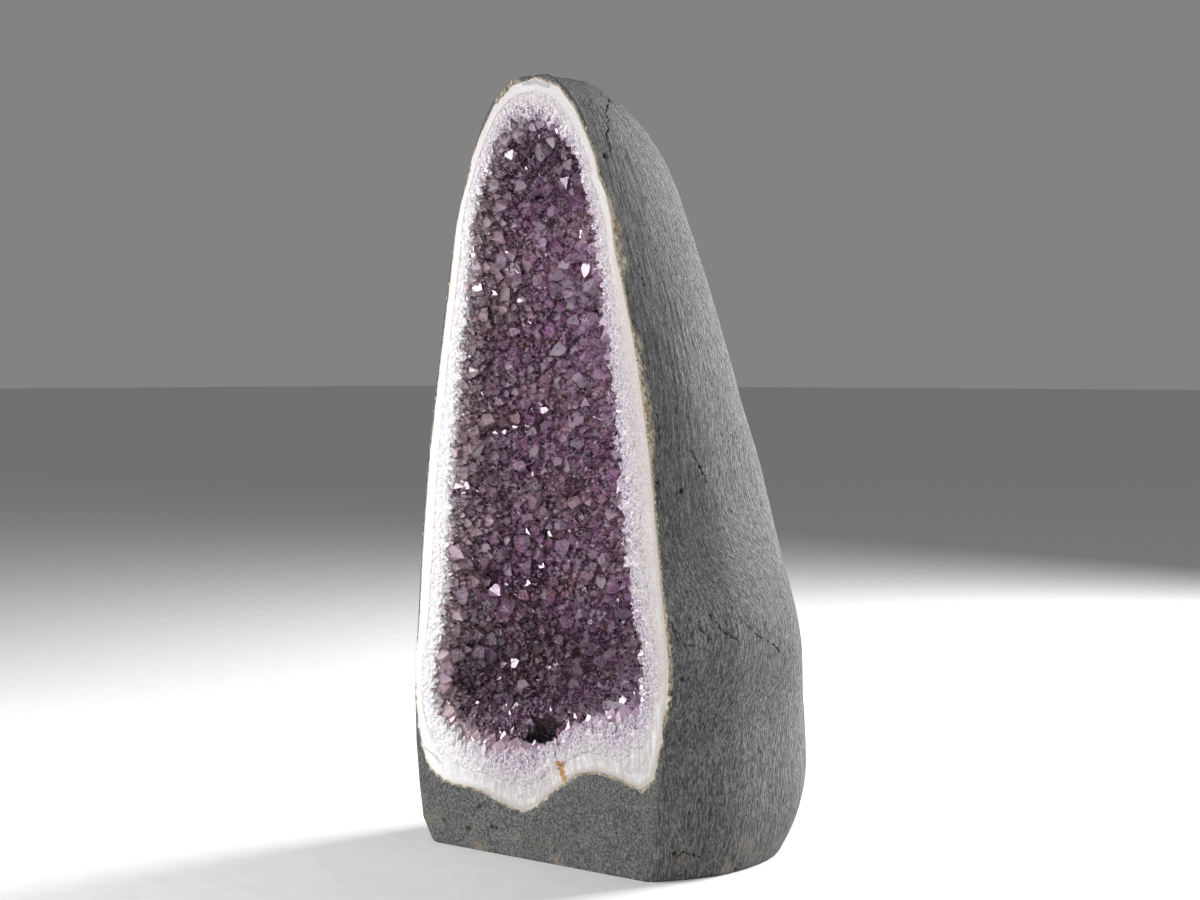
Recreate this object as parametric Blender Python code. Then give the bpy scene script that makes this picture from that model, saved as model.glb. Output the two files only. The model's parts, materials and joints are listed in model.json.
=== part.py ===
"""Amethyst cathedral geode: a tall half geode, sawn open down its front, standing on a cement foot.

Metres, +Z up. The sawn face looks along -Y, and the origin lies on the flat foot, under the middle
of the body's width and depth. Three pieces make it up: the cement casing that backs and carries it,
the pale agate wall of the geode with its sawn rim, and the crust of amethyst crystals that lines
the hollow.
"""

import math
import random

import bmesh
import bpy
import numpy as np
from mathutils import Quaternion, Vector, noise
from mathutils.geometry import delaunay_2d_cdt

# Driving sizes
HEIGHT = 0.461
FACE_Y = -0.099  # plane of the saw cut
GAP = 0.0005  # clearance between touching pieces, along the rays of the outlines
LIP = 0.0017  # width of the casing's edge on the sawn face
FOOT_ROUND = 0.0016  # the foot's lower edge is rounded by this much

# Half widths of the sawn face: height, to the left, to the right
FACE_EDGE = (
    (0.000, 0.0870, 0.0870),
    (0.008, 0.0935, 0.0900),
    (0.030, 0.0980, 0.0925),
    (0.060, 0.1015, 0.0945),
    (0.095, 0.1025, 0.0985),
    (0.130, 0.1000, 0.1028),
    (0.180, 0.0965, 0.0958),
    (0.240, 0.0900, 0.0893),
    (0.300, 0.0800, 0.0788),
    (0.360, 0.0695, 0.0628),
    (0.400, 0.0580, 0.0505),
    (0.430, 0.0465, 0.0380),
    (0.448, 0.0350, 0.0270),
    (0.457, 0.0235, 0.0165),
    (HEIGHT, 0.0120, 0.0080),
)
# Depth of the body behind the sawn face: height, depth
BODY_DEPTH = (
    (0.000, 0.161),
    (0.015, 0.176),
    (0.035, 0.190),
    (0.060, 0.194),
    (0.110, 0.184),
    (0.180, 0.163),
    (0.240, 0.140),
    (0.300, 0.122),
    (0.390, 0.098),
    (0.427, 0.083),
    (0.448, 0.059),
    (0.457, 0.047),
    (HEIGHT, 0.038),
)
# Lower edge of the agate on the sawn face, from left to right: x, height
AGATE_LOWER_EDGE = (
    (-0.096, 0.060),
    (-0.090, 0.045),
    (-0.078, 0.040),
    (-0.045, 0.038),
    (-0.022, 0.030),
    (-0.006, 0.029),
    (0.012, 0.043),
    (0.031, 0.056),
    (0.056, 0.062),
    (0.065, 0.056),
    (0.072, 0.047),
    (0.083, 0.051),
    (0.090, 0.057),
    (0.092, 0.068),
)
# Mouth of the hollow on the sawn face, anticlockwise from the right-hand end of the ledge: x, height
MOUTH_EDGE = (
    (0.074, 0.082),
    (0.084, 0.108),
    (0.077, 0.140),
    (0.067, 0.190),
    (0.065, 0.235),
    (0.057, 0.295),
    (0.049, 0.345),
    (0.038, 0.390),
    (0.023, 0.424),
    (0.009, 0.440),
    (-0.008, 0.444),
    (-0.026, 0.436),
    (-0.040, 0.412),
    (-0.053, 0.361),
    (-0.062, 0.310),
    (-0.072, 0.235),
    (-0.075, 0.180),
    (-0.082, 0.125),
    (-0.090, 0.092),
    (-0.084, 0.074),
    (-0.056, 0.064),
    (-0.020, 0.061),
    (0.008, 0.068),
    (0.030, 0.082),
    (0.052, 0.090),
)
SEAM_TOP = ((-0.008, HEIGHT - LIP), (0.004, HEIGHT - LIP))  # the agate's blunt top: x, height
SEAM_SIDES_FROM = 0.075  # above this height the agate's edge follows the face's edge
SEAM_ROUNDING = 0.012  # length over which the outlines' corners are rounded
MOUTH_ROUNDING = 0.016
CRUST_SHARE = 0.58  # share of the sawn rim, from the mouth outwards, that is cut crystal

# The hollow and the wall bulge back from a straight upright spine in the sawn face
SPINE_LOW = 0.125
SPINE_HIGH = 0.375
SPINE_ROUND = 0.070  # radius on which the round ends of the spine's outline are measured
WALL_DEPTH = (0.150, 0.086)  # depth of the agate's outer side at the spine's low and high ends
WALL_THICK = 0.016  # thickness of the agate behind the hollow
HOLLOW_DEPTH = (0.118, 0.059)  # depth at which the crystals stand, low and high
BOWL_POWER = 2.3  # 2 is an ellipse, more is fuller
BOWL_STEPS = (0.0, 0.30, 0.56, 0.78, 0.94)  # rings from the rim (0) towards the back (1)
SIDE_POINTS = 15  # points of a ring along each side, over the top and, closer together, under the bottom
TOP_POINTS = 14
BOTTOM_POINTS = 30

# Body sections
FLANK_FLARE_FOOT = 1.22  # widest half width over half width at the face, at the foot
FLANK_FLARE = 1.10  # the same from this share of the height up
FLARE_FADES_BY = 0.2
WIDEST_AT = 0.30  # where the body is widest, as a share of its depth
FLANK_POWER = 1.6
BACK_POWER = 2.3
CORNER_CUT = (0.0026, 0.0007)  # width of the cut corner between face and flank, at the foot and above it
FOOT_CORNER_TOP = 0.030
LUMP_HEIGHT = 0.0022
LUMP_LENGTH = 0.055
LUMP_FADE = 0.045  # the lumps die away over this distance towards the face, the foot and the top
FLANK_POINTS = 7
BACK_POINTS = 14

# Crystals
CRYSTAL_PITCH = 0.0114
CRYSTAL_STEEPNESS = 1.15  # height of a point over the half width of its foot
CRYSTAL_TILT = 0.26  # how far a point leans off its middle, as a share of its half width
VALLEY_SINK = 0.12  # how much deeper some of the joints between crystals lie, as a share of the pitch
CRYSTAL_LOOSE = 0.24  # how far a crystal may stand off the honeycomb, as a share of the pitch
CRYSTAL_CLOSEST = 0.66  # the closest that two crystals stand, as a share of the pitch
HEIGHT_RANGE = (0.75, 1.20)
TIP_SET_BACK = 0.001  # no point comes closer than this to the plane of the cut
RIM_JAG = 0.0026
SEED = 8


def rounded_between(table, column, at):
    """Value of a column of a table of heights at a height, on a curve through its rows."""
    rows = np.array(table)
    slopes = np.gradient(rows[:, column], rows[:, 0])
    i = int(np.clip(np.searchsorted(rows[:, 0], at) - 1, 0, len(rows) - 2))
    step = rows[i + 1, 0] - rows[i, 0]
    t = (at - rows[i, 0]) / step
    start, end = rows[i, column], rows[i + 1, column]
    return float(
        (2 * t**3 - 3 * t**2 + 1) * start
        + (t**3 - 2 * t**2 + t) * step * slopes[i]
        + (3 * t**2 - 2 * t**3) * end
        + (t**3 - t**2) * step * slopes[i + 1]
    )


# Places round the spine
SPINE_LENGTH = SPINE_HIGH - SPINE_LOW
HALF_TURN = math.pi * SPINE_ROUND
LAP = 2 * SPINE_LENGTH + 2 * HALF_TURN


def lap_of(x, z):
    """How far round the spine a point of the sawn face lies, and its distance from the spine.

    The lap runs up the right side, over the top, down the left side and under the bottom.
    """
    if z > SPINE_HIGH:
        angle = math.atan2(z - SPINE_HIGH, x)
        return SPINE_LENGTH + SPINE_ROUND * angle, math.hypot(x, z - SPINE_HIGH)
    if z < SPINE_LOW:
        angle = math.pi + math.atan2(z - SPINE_LOW, x)
        return 2 * SPINE_LENGTH + HALF_TURN + SPINE_ROUND * angle, math.hypot(x, z - SPINE_LOW)
    if x > 0:
        return z - SPINE_LOW, x
    return SPINE_LENGTH + HALF_TURN + SPINE_HIGH - z, -x


def ray_of(lap):
    """Where on the spine a lap's ray starts, and its direction in x and z."""
    lap %= LAP
    if lap <= SPINE_LENGTH:
        return SPINE_LOW + lap, 1.0, 0.0
    if lap <= SPINE_LENGTH + HALF_TURN:
        angle = (lap - SPINE_LENGTH) / SPINE_ROUND
        return SPINE_HIGH, math.cos(angle), math.sin(angle)
    if lap <= 2 * SPINE_LENGTH + HALF_TURN:
        return SPINE_HIGH - (lap - SPINE_LENGTH - HALF_TURN), -1.0, 0.0
    angle = math.pi + (lap - 2 * SPINE_LENGTH - HALF_TURN) / SPINE_ROUND
    return SPINE_LOW, math.cos(angle), math.sin(angle)


class Outline:
    """A closed outline on the sawn face, as its distance from the spine round the lap."""

    FINE = 720

    def __init__(self, points, rounding):
        places = sorted(lap_of(x, z) for x, z in points)
        laps = [place[0] for place in places]
        reaches = [place[1] for place in places]
        self.laps = np.linspace(0, LAP, self.FINE, endpoint=False)
        straight = np.interp(self.laps, laps, reaches, period=LAP)
        width = max(3, int(rounding / LAP * self.FINE) | 1)
        window = np.hanning(width + 2)[1:-1]
        wrapped = np.concatenate([straight[-width:], straight, straight[:width]])
        smooth = np.convolve(wrapped, window / window.sum(), mode="same")
        self.reaches = smooth[width:-width]

    def reach(self, lap):
        """Distance from the spine to the outline at a lap."""
        return float(np.interp(lap % LAP, self.laps, self.reaches, period=LAP))


def seam_outline():
    """Outer edge of the agate: the face's edge less the casing's lip, and the wavy lower edge."""
    rows = [row for row in FACE_EDGE[:-1] if row[0] > SEAM_SIDES_FROM]
    left = [(LIP - width, z - LIP) for z, width, _ in rows]
    right = [(width - LIP, z - LIP) for z, _, width in rows]
    return Outline([*right, *SEAM_TOP, *left, *AGATE_LOWER_EDGE], SEAM_ROUNDING)


SEAM = seam_outline()
MOUTH = Outline(MOUTH_EDGE, MOUTH_ROUNDING)


def crust_edge(lap):
    """Distance from the spine of the line between the agate and the cut crystals on the rim."""
    mouth = MOUTH.reach(lap)
    return mouth + CRUST_SHARE * (SEAM.reach(lap) - mouth)


def bowl_depth(depths, spine_z):
    """Depth of a bowl behind a point of the spine, between its low and its high value."""
    share = (spine_z - SPINE_LOW) / SPINE_LENGTH
    return depths[0] + (depths[1] - depths[0]) * share


def bowl_point(lap, reach, depth_at_spine, step):
    """A point of a bowl that starts on the sawn face at its reach and bulges back to its depth."""
    spine_z, along_x, along_z = ray_of(lap)
    out = (1 - step**BOWL_POWER) ** (1 / BOWL_POWER) * reach
    return Vector((along_x * out, FACE_Y + depth_at_spine * step, spine_z + along_z * out))


def rim_laps():
    """Laps at which the bowls have their points."""
    stretches = (
        (SPINE_LENGTH, SIDE_POINTS),
        (HALF_TURN, TOP_POINTS),
        (SPINE_LENGTH, SIDE_POINTS),
        (HALF_TURN, BOTTOM_POINTS),
    )
    laps = []
    start = 0.0
    for length, count in stretches:
        laps += [start + length * i / count for i in range(count)]
        start += length
    return laps


RIM_LAPS = rim_laps()
CUTTER_PROUD = 0.02  # how far the hollow's cutter stands out of the sawn face


def bowl_rings(reach_of, depths, spread=0.0, steps=BOWL_STEPS):
    """Rings of points of a bowl from its rim to its back, grown all over by spread."""
    rings = []
    for step in steps:
        ring = []
        for lap in RIM_LAPS:
            depth = bowl_depth(depths, ray_of(lap)[0]) + spread
            ring.append(bowl_point(lap, reach_of(lap) + spread, depth, step))
        rings.append(ring)
    return rings


def loft(bm, rings, start_verts=None):
    """Skins rings of equal length and returns the last ring's vertices.

    Each quad is split along the same diagonal, so that two bowls with one inside the other stay parallel.
    """
    previous = start_verts or [bm.verts.new(point) for point in rings[0]]
    for ring in rings[0 if start_verts else 1 :]:
        current = [bm.verts.new(point) for point in ring]
        for i, vert in enumerate(current):
            bm.faces.new((previous[i - 1], previous[i], vert))
            bm.faces.new((previous[i - 1], vert, current[i - 1]))
        previous = current
    return previous


def close_back(bm, ring):
    """Closes a bowl's last ring with three flat faces: its top end, its bottom end and what is between."""
    top = SIDE_POINTS
    left = top + TOP_POINTS
    bottom = left + SIDE_POINTS
    bm.faces.new(ring[top : left + 1])
    bm.faces.new(ring[bottom:] + ring[:1])
    bm.faces.new(ring[: top + 1] + ring[left : bottom + 1])


def make_object(name, bm, material):
    """Turns a bmesh into a named object with its faces pointing outwards."""
    bmesh.ops.triangulate(bm, faces=[f for f in bm.faces if len(f.verts) > 4])
    bmesh.ops.recalc_face_normals(bm, faces=bm.faces)
    mesh = bpy.data.meshes.new(name)
    bm.to_mesh(mesh)
    bm.free()
    obj = bpy.data.objects.new(name, mesh)
    bpy.context.scene.collection.objects.link(obj)
    if material:
        mesh.materials.append(material)
    return obj


def make_material(name, color, roughness, transmission=0.0):
    """A Principled material with one colour."""
    material = bpy.data.materials.new(name)
    material.use_nodes = True
    shader = material.node_tree.nodes["Principled BSDF"]
    shader.inputs["Base Color"].default_value = (*color, 1.0)
    shader.inputs["Roughness"].default_value = roughness
    shader.inputs["Metallic"].default_value = 0.0
    shader.inputs["Transmission Weight"].default_value = transmission
    material.diffuse_color = (*color, 1.0)
    return material


# Cement casing
def body_levels():
    """Heights of the body's rings, closer together at the rounded foot and top."""
    middle = np.linspace(0.060, 0.390, 12)
    return [0.0, FOOT_ROUND, 0.014, 0.035, *map(float, middle), 0.410, 0.427, 0.440, 0.448, 0.457, HEIGHT]


def flank_flare(z):
    """Widest half width over half width at the face, at a height."""
    blend = min(1.0, z / (FLARE_FADES_BY * HEIGHT))
    return FLANK_FLARE_FOOT + (FLANK_FLARE - FLANK_FLARE_FOOT) * blend


def half_section(z, column):
    """Half of the body's section at a height, from the front corner round to the back, as (out, back)."""
    edge = rounded_between(FACE_EDGE, column, z)
    depth = rounded_between(BODY_DEPTH, 1, z)
    shrink = FOOT_ROUND * 0.3 if z == 0.0 else 0.0
    widest = edge * flank_flare(z) - shrink
    middle = depth * WIDEST_AT
    front = middle / (1 - (edge / (edge * flank_flare(z))) ** FLANK_POWER) ** (1 / FLANK_POWER)
    chamfer = CORNER_CUT[0] if z < FOOT_CORNER_TOP else CORNER_CUT[1]
    points = [(edge - chamfer - shrink, shrink)]
    for i in range(FLANK_POINTS):
        back = chamfer + (middle - chamfer) * i / (FLANK_POINTS - 1)
        out = (1 - (max(0.0, middle - back) / front) ** FLANK_POWER) ** (1 / FLANK_POWER)
        points.append((widest * out, back))
    for i in range(1, BACK_POINTS):
        turn = 0.5 * math.pi * i / (BACK_POINTS - 1)
        out = widest * math.cos(turn) ** (2 / BACK_POWER) if i < BACK_POINTS - 1 else 0.0
        points.append((out, middle + (depth - middle - shrink) * math.sin(turn) ** (2 / BACK_POWER)))
    return points


def lumped(point):
    """Moves a point of the body's side in or out by the cement's soft lumps, none at face, foot and top."""
    fade = min(point.y - FACE_Y, point.z, HEIGHT - point.z, LUMP_FADE) / LUMP_FADE
    middle = FACE_Y + WIDEST_AT * rounded_between(BODY_DEPTH, 1, point.z)
    outward = (point - Vector((0.0, middle, point.z))).normalized()
    lump = noise.noise(point / LUMP_LENGTH) + 0.5 * noise.noise(2 * point / LUMP_LENGTH)
    return point + outward * (LUMP_HEIGHT * max(0.0, fade) * lump)


def body_ring(z):
    """Ring of points round the body at a height, from the front right corner round the back."""
    right = half_section(z, 2)
    left = half_section(z, 1)
    outline = right + [(-out, back) for out, back in reversed(left[:-1])]
    return [lumped(Vector((x, FACE_Y + back, z))) for x, back in outline]


def build_casing(material):
    """The cement casing: the whole body, with the geode's bowl cut out of its face."""
    bm = bmesh.new()
    rings = [body_ring(z) for z in body_levels()]
    foot = [bm.verts.new(point) for point in rings[0]]
    bm.faces.new(foot)
    bm.faces.new(loft(bm, rings[1:], foot))
    casing = make_object("cement_casing", bm, material)

    cutter_bm = bmesh.new()
    rings = bowl_rings(SEAM.reach, WALL_DEPTH, GAP)
    mouth = [point - Vector((0.0, CUTTER_PROUD, 0.0)) for point in rings[0]]
    front = [cutter_bm.verts.new(point) for point in mouth]
    cutter_bm.faces.new(front)
    close_back(cutter_bm, loft(cutter_bm, rings, front))
    cutter = make_object("hollow_cutter", cutter_bm, None)
    cutter.hide_render = True
    cutter.display_type = "WIRE"

    cut = casing.modifiers.new("Hollow", "BOOLEAN")
    cut.operation = "DIFFERENCE"
    cut.object = cutter
    return casing


# Agate wall
def inner_depths():
    """Depths of the agate's inner side at the spine's low and high ends."""
    return tuple(depth - WALL_THICK for depth in WALL_DEPTH)


def build_wall(material):
    """The agate wall: a bowl whose rim is the outer part of the sawn white band."""
    bm = bmesh.new()
    outer = bowl_rings(SEAM.reach, WALL_DEPTH)
    inner = bowl_rings(crust_edge, inner_depths())
    rim = [bm.verts.new(point) for point in outer[0]]
    close_back(bm, loft(bm, outer[1:], rim))
    close_back(bm, loft(bm, inner, rim))
    return make_object("agate_wall", bm, material)


# Amethyst crust
class Hollow:
    """The hollow's surface, spread flat: the distance from the spine there is measured along the bowl."""

    PROFILE_STEPS = 60

    def __init__(self):
        self.steps = np.linspace(0.0, 1.0, self.PROFILE_STEPS) ** 0.5

    def profile(self, lap):
        """Distances along the bowl from the spine's back to each step, and the steps, back to rim."""
        reach = MOUTH.reach(lap)
        depth = bowl_depth(HOLLOW_DEPTH, ray_of(lap)[0])
        steps = self.steps[::-1]
        out = (1 - steps**BOWL_POWER) ** (1 / BOWL_POWER) * reach
        runs = np.hypot(np.diff(out), np.diff(steps * depth))
        return np.concatenate([[0.0], np.cumsum(runs)]), steps

    def flat_reach(self, lap):
        """Distance along the bowl from the spine's back to the rim."""
        return float(self.profile(lap)[0][-1])

    def point(self, x, z):
        """Place on the bowl of a point of the flat sheet."""
        lap, distance = lap_of(x, z)
        distances, steps = self.profile(lap)
        step = float(np.interp(distance, distances, steps))
        depth = bowl_depth(HOLLOW_DEPTH, ray_of(lap)[0])
        return bowl_point(lap, MOUTH.reach(lap), depth, step)

    def inward(self, x, z):
        """Direction into the hollow at a point of the flat sheet."""
        small = 0.002
        across = self.point(x + small, z) - self.point(x - small, z)
        up = self.point(x, z + small) - self.point(x, z - small)
        return across.cross(up).normalized()


def crystal_places(hollow, rng):
    """Middles of the crystals on the flat sheet: a loosened honeycomb, thinned where the bowl crowds it."""
    places = []
    stands = []
    row_step = CRYSTAL_PITCH * math.sqrt(3) / 2
    widest = max(hollow.flat_reach(lap) for lap in RIM_LAPS)
    rows = int((SPINE_LENGTH + 2 * widest) / row_step)
    columns = int(2 * widest / CRYSTAL_PITCH) + 1
    for row in range(rows):
        for column in range(columns):
            x = (column + 0.5 * (row % 2) - columns / 2) * CRYSTAL_PITCH
            z = SPINE_LOW - widest + row * row_step
            x += rng.uniform(-CRYSTAL_LOOSE, CRYSTAL_LOOSE) * CRYSTAL_PITCH
            z += rng.uniform(-CRYSTAL_LOOSE, CRYSTAL_LOOSE) * CRYSTAL_PITCH
            lap, distance = lap_of(x, z)
            if distance > hollow.flat_reach(lap) - 0.5 * CRYSTAL_PITCH:
                continue
            stand = hollow.point(x, z)
            if any((stand - other).length < CRYSTAL_CLOSEST * CRYSTAL_PITCH for other in stands):
                continue
            places.append((x, z))
            stands.append(stand)
    return places


def rim_places(hollow):
    """The rim's points on the flat sheet."""
    places = []
    for lap in RIM_LAPS:
        spine_z, along_x, along_z = ray_of(lap)
        flat = hollow.flat_reach(lap)
        places.append((along_x * flat, spine_z + along_z * flat))
    return places


def add_crystals(bm, hollow, rim, rng):
    """Covers the hollow with crystals, one raised point over each cell, joined to the rim's vertices."""
    flat_rim = rim_places(hollow)
    flat = flat_rim + crystal_places(hollow, rng)
    border = [(i, (i + 1) % len(rim)) for i in range(len(rim))]
    points, _, triangles, kept, _, _ = delaunay_2d_cdt([Vector(place) for place in flat], border, [], 1, 1e-7)
    source = [ids[0] for ids in kept]

    valleys = []
    cells = {}
    for triangle in triangles:
        middle = sum((points[i] for i in triangle), Vector((0.0, 0.0))) / 3
        sink = rng.uniform(0.0, VALLEY_SINK) * CRYSTAL_PITCH
        bed = hollow.point(*middle) - hollow.inward(*middle) * sink
        valleys.append(bm.verts.new(bed))
        for corner in triangle:
            cells.setdefault(corner, []).append(bed)

    tops = {}
    for corner, beds in cells.items():
        if source[corner] < len(rim):
            tops[corner] = rim[source[corner]]
            continue
        stand = hollow.point(*points[corner])
        inward = hollow.inward(*points[corner])
        half_width = sum((bed - stand).length for bed in beds) / len(beds)
        side = inward.orthogonal().normalized()
        side.rotate(Quaternion(inward, rng.uniform(0, 2 * math.pi)))
        lean = side * (half_width * rng.uniform(0, CRYSTAL_TILT))
        height = half_width * CRYSTAL_STEEPNESS * rng.uniform(*HEIGHT_RANGE)
        tip = stand + inward * height + lean
        tip.y = max(tip.y, FACE_Y + TIP_SET_BACK)
        tops[corner] = bm.verts.new(tip)

    sides = {}
    for valley, triangle in zip(valleys, triangles):
        for i in range(3):
            edge = (triangle[i - 1], triangle[i])
            sides.setdefault(tuple(sorted(edge)), []).append(valley)
    for (a, b), beside in sides.items():
        if len(beside) == 1:
            bm.faces.new((tops[a], tops[b], beside[0]))
            continue
        for corner in (a, b):
            bm.faces.new((tops[corner], beside[0], beside[1]))


def build_crust(material):
    """The crystals: a bowl inside the agate's, with a flat sawn rim and a faceted inner side."""
    rng = random.Random(SEED)
    bm = bmesh.new()
    outer = bowl_rings(crust_edge, inner_depths(), -GAP)
    rim = [bm.verts.new(point) for point in outer[0]]
    close_back(bm, loft(bm, outer[1:], rim))
    mouth = []
    for i, lap in enumerate(RIM_LAPS):
        jag = RIM_JAG * (1 if i % 2 else -1) * rng.uniform(0.5, 1.0)
        depth = bowl_depth(HOLLOW_DEPTH, ray_of(lap)[0])
        mouth.append(bowl_point(lap, MOUTH.reach(lap) + jag, depth, 0.0))
    inner_rim = loft(bm, [mouth], rim)
    add_crystals(bm, Hollow(), inner_rim, rng)
    return make_object("amethyst_crust", bm, material)


def clear_scene():
    """Removes every object of the scene the script is run in."""
    for obj in list(bpy.data.objects):
        bpy.data.objects.remove(obj, do_unlink=True)


def main():
    """Builds the three pieces."""
    clear_scene()
    build_casing(make_material("cement", (0.105, 0.113, 0.114), 0.9))
    build_wall(make_material("agate", (0.80, 0.77, 0.78), 0.4))
    build_crust(make_material("amethyst", (0.30, 0.17, 0.36), 0.15, 0.3))


main()
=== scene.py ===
"""Looks of a tall amethyst cathedral geode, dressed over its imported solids.

The sawn face looks along -Y and the foot stands on z = 0, in metres. Each solid is replaced by finer
pieces of the same form: the cement casing with its brush marks, pits and cracks, the agate wall with
its sawn bands, and the crystal crust as a quartz bed, its sawn rim crystals and thousands of points.
"""

import itertools
import json
import logging
import math
import random
from collections.abc import Callable, Iterable, Sequence
from dataclasses import dataclass, field
from enum import Enum

import bmesh
import bpy
import numpy as np
from bmesh.types import BMEdge, BMesh, BMFace, BMVert
from bpy.types import Material, Mesh, Node, NodeSocket, NodeTree, Object
from bpy.types import bpy_prop_collection as Sockets
from mathutils import Matrix, Quaternion, Vector, noise
from mathutils.bvhtree import BVHTree
from mathutils.kdtree import KDTree

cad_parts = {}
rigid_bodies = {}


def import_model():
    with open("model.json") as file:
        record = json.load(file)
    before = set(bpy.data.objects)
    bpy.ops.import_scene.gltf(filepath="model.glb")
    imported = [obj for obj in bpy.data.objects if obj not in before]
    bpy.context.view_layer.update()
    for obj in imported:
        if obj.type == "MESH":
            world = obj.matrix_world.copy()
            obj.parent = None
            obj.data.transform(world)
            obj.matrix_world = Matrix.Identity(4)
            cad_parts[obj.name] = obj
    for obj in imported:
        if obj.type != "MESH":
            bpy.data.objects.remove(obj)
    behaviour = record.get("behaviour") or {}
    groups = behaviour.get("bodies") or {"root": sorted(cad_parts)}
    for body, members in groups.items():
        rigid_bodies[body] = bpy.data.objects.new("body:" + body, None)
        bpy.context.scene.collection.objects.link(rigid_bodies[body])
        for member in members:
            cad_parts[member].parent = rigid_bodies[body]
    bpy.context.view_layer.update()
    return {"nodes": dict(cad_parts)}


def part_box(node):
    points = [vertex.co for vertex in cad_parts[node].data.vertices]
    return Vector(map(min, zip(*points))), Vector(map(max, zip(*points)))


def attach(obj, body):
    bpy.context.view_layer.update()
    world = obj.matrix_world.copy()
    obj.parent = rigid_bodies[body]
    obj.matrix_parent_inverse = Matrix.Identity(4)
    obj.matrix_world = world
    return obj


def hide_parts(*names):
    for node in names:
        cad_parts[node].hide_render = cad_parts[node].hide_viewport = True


log = logging.getLogger("geode")

BODY = "root"
WELD = 1e-6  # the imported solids' loose triangles are joined where corners are closer than this
ON_PLANE = 1e-5  # what lies nearer to the saw cut than this is on it
SAW_DIST = 1e-7
GOLDEN_SHARE = 0.6180339887  # steps of this share spread evenly
SEED = 21
FORMS = 24  # differently cut crystals, whole ones and small ones each
STUB_ROOT = 1.6  # the hollow's crystals have shorter columns than the rim's

Colour = tuple[float, float, float]
Triple = tuple[float, float, float]
Range = tuple[float, float]
Pixel = tuple[float, float]
Face = tuple[int, ...]

FALLING: Range = (1.0, 0.0)  # what a spread runs through when it falls

# The stains on the sawn face, by column and row in the photograph
SLATE_LINE = tuple((524 + 2 * i, 82.0 + 0.055 * (i - 4) ** 2) for i in range(13))
STAIN_LINE = ((558, 764), (562, 764), (560, 768), (562, 773), (564, 778))
SLATE_RADIUS = 0.0018
STAIN_RADIUS = 0.0024


class Part(Enum):
    """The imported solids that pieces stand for, each with its node and its material slot."""

    CASING = ("cement_casing", "cement")
    WALL = ("agate_wall", "agate")
    CRUST = ("amethyst_crust", "amethyst")


# The photograph's view
@dataclass(frozen=True)
class Viewpoint:
    """The camera as it stood for the photograph, with the picture taken as 1200 by 900 pixels."""

    place: Triple = (0.93166, -1.09808, 0.28941)
    aim: Triple = (0.02741, -0.07344, 0.24247)
    lens_mm: float = 70.0
    sensor_mm: float = 36.0
    width_px: float = 1200.0
    height_px: float = 900.0

    @property
    def focal_px(self) -> float:
        """The focal length in pixels."""
        return self.lens_mm / self.sensor_mm * self.width_px

    def turn(self) -> Quaternion:
        """How the camera is turned."""
        return (Vector(self.aim) - Vector(self.place)).to_track_quat("-Z", "Y")

    def ray(self, pixel: Pixel) -> Vector:
        """Direction from the camera through a pixel.

        Args:
            pixel: column and row in the photograph.

        Returns:
            A unit vector in the row frame.
        """
        across = (pixel[0] - self.width_px / 2) / self.focal_px
        down = (pixel[1] - self.height_px / 2) / self.focal_px
        return (self.turn() @ Vector((across, -down, -1.0))).normalized()

    def pixel(self, place: Vector) -> Pixel:
        """Where the photograph shows a place.

        Args:
            place: a place in the row frame.

        Returns:
            Its column and row.
        """
        seen = self.turn().inverted() @ (place - Vector(self.place))
        column = self.width_px / 2 - self.focal_px * seen.x / seen.z
        return (column, self.height_px / 2 + self.focal_px * seen.y / seen.z)

    def hit(self, tree: BVHTree, pixel: Pixel) -> Vector | None:
        """Where a pixel's ray meets a surface, or None."""
        return tree.ray_cast(Vector(self.place), self.ray(pixel))[0]


# Mesh helpers
def merged_copy(node: Object) -> BMesh:
    """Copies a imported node's mesh and joins its loose triangles at their corners.

    Args:
        node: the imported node.

    Returns:
        The joined copy.
    """
    bm = bmesh.new()
    bm.from_mesh(node.data)
    bmesh.ops.remove_doubles(bm, verts=bm.verts, dist=WELD)
    return bm


def join_to_quads(bm: BMesh, faces: Iterable[BMFace]) -> None:
    """Joins pairs of triangles back into quads.

    Args:
        bm: the mesh.
        faces: the triangles that may be joined.
    """
    flat, square = math.radians(60), math.radians(80)  # the most that a pair may bend and be skewed
    bmesh.ops.join_triangles(
        bm, faces=list(faces), angle_face_threshold=flat, angle_shape_threshold=square
    )


def rounded(bm: BMesh, levels: int, held: Callable[[BMEdge], bool]) -> BMesh:
    """Rounds a mesh by subdivision and frees the one given.

    Args:
        bm: the coarse mesh.
        levels: how often each face is divided.
        held: says whether an edge stays sharp.

    Returns:
        The rounded mesh.
    """
    crease = bm.edges.layers.float.new("crease_edge")
    for edge in bm.edges:
        edge[crease] = 1.0 if held(edge) else 0.0
    coarse = bpy.data.meshes.new("coarse")
    bm.to_mesh(coarse)
    bm.free()
    holder = bpy.data.objects.new("coarse", coarse)
    bpy.context.scene.collection.objects.link(holder)
    divide = holder.modifiers.new("Divide", "SUBSURF")
    divide.levels = levels
    divide.render_levels = levels
    graph = bpy.context.evaluated_depsgraph_get()
    fine = bpy.data.meshes.new_from_object(holder.evaluated_get(graph))
    made = bmesh.new()
    made.from_mesh(fine)
    bpy.data.objects.remove(holder)
    bpy.data.meshes.remove(coarse)
    bpy.data.meshes.remove(fine)
    return made


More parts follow.
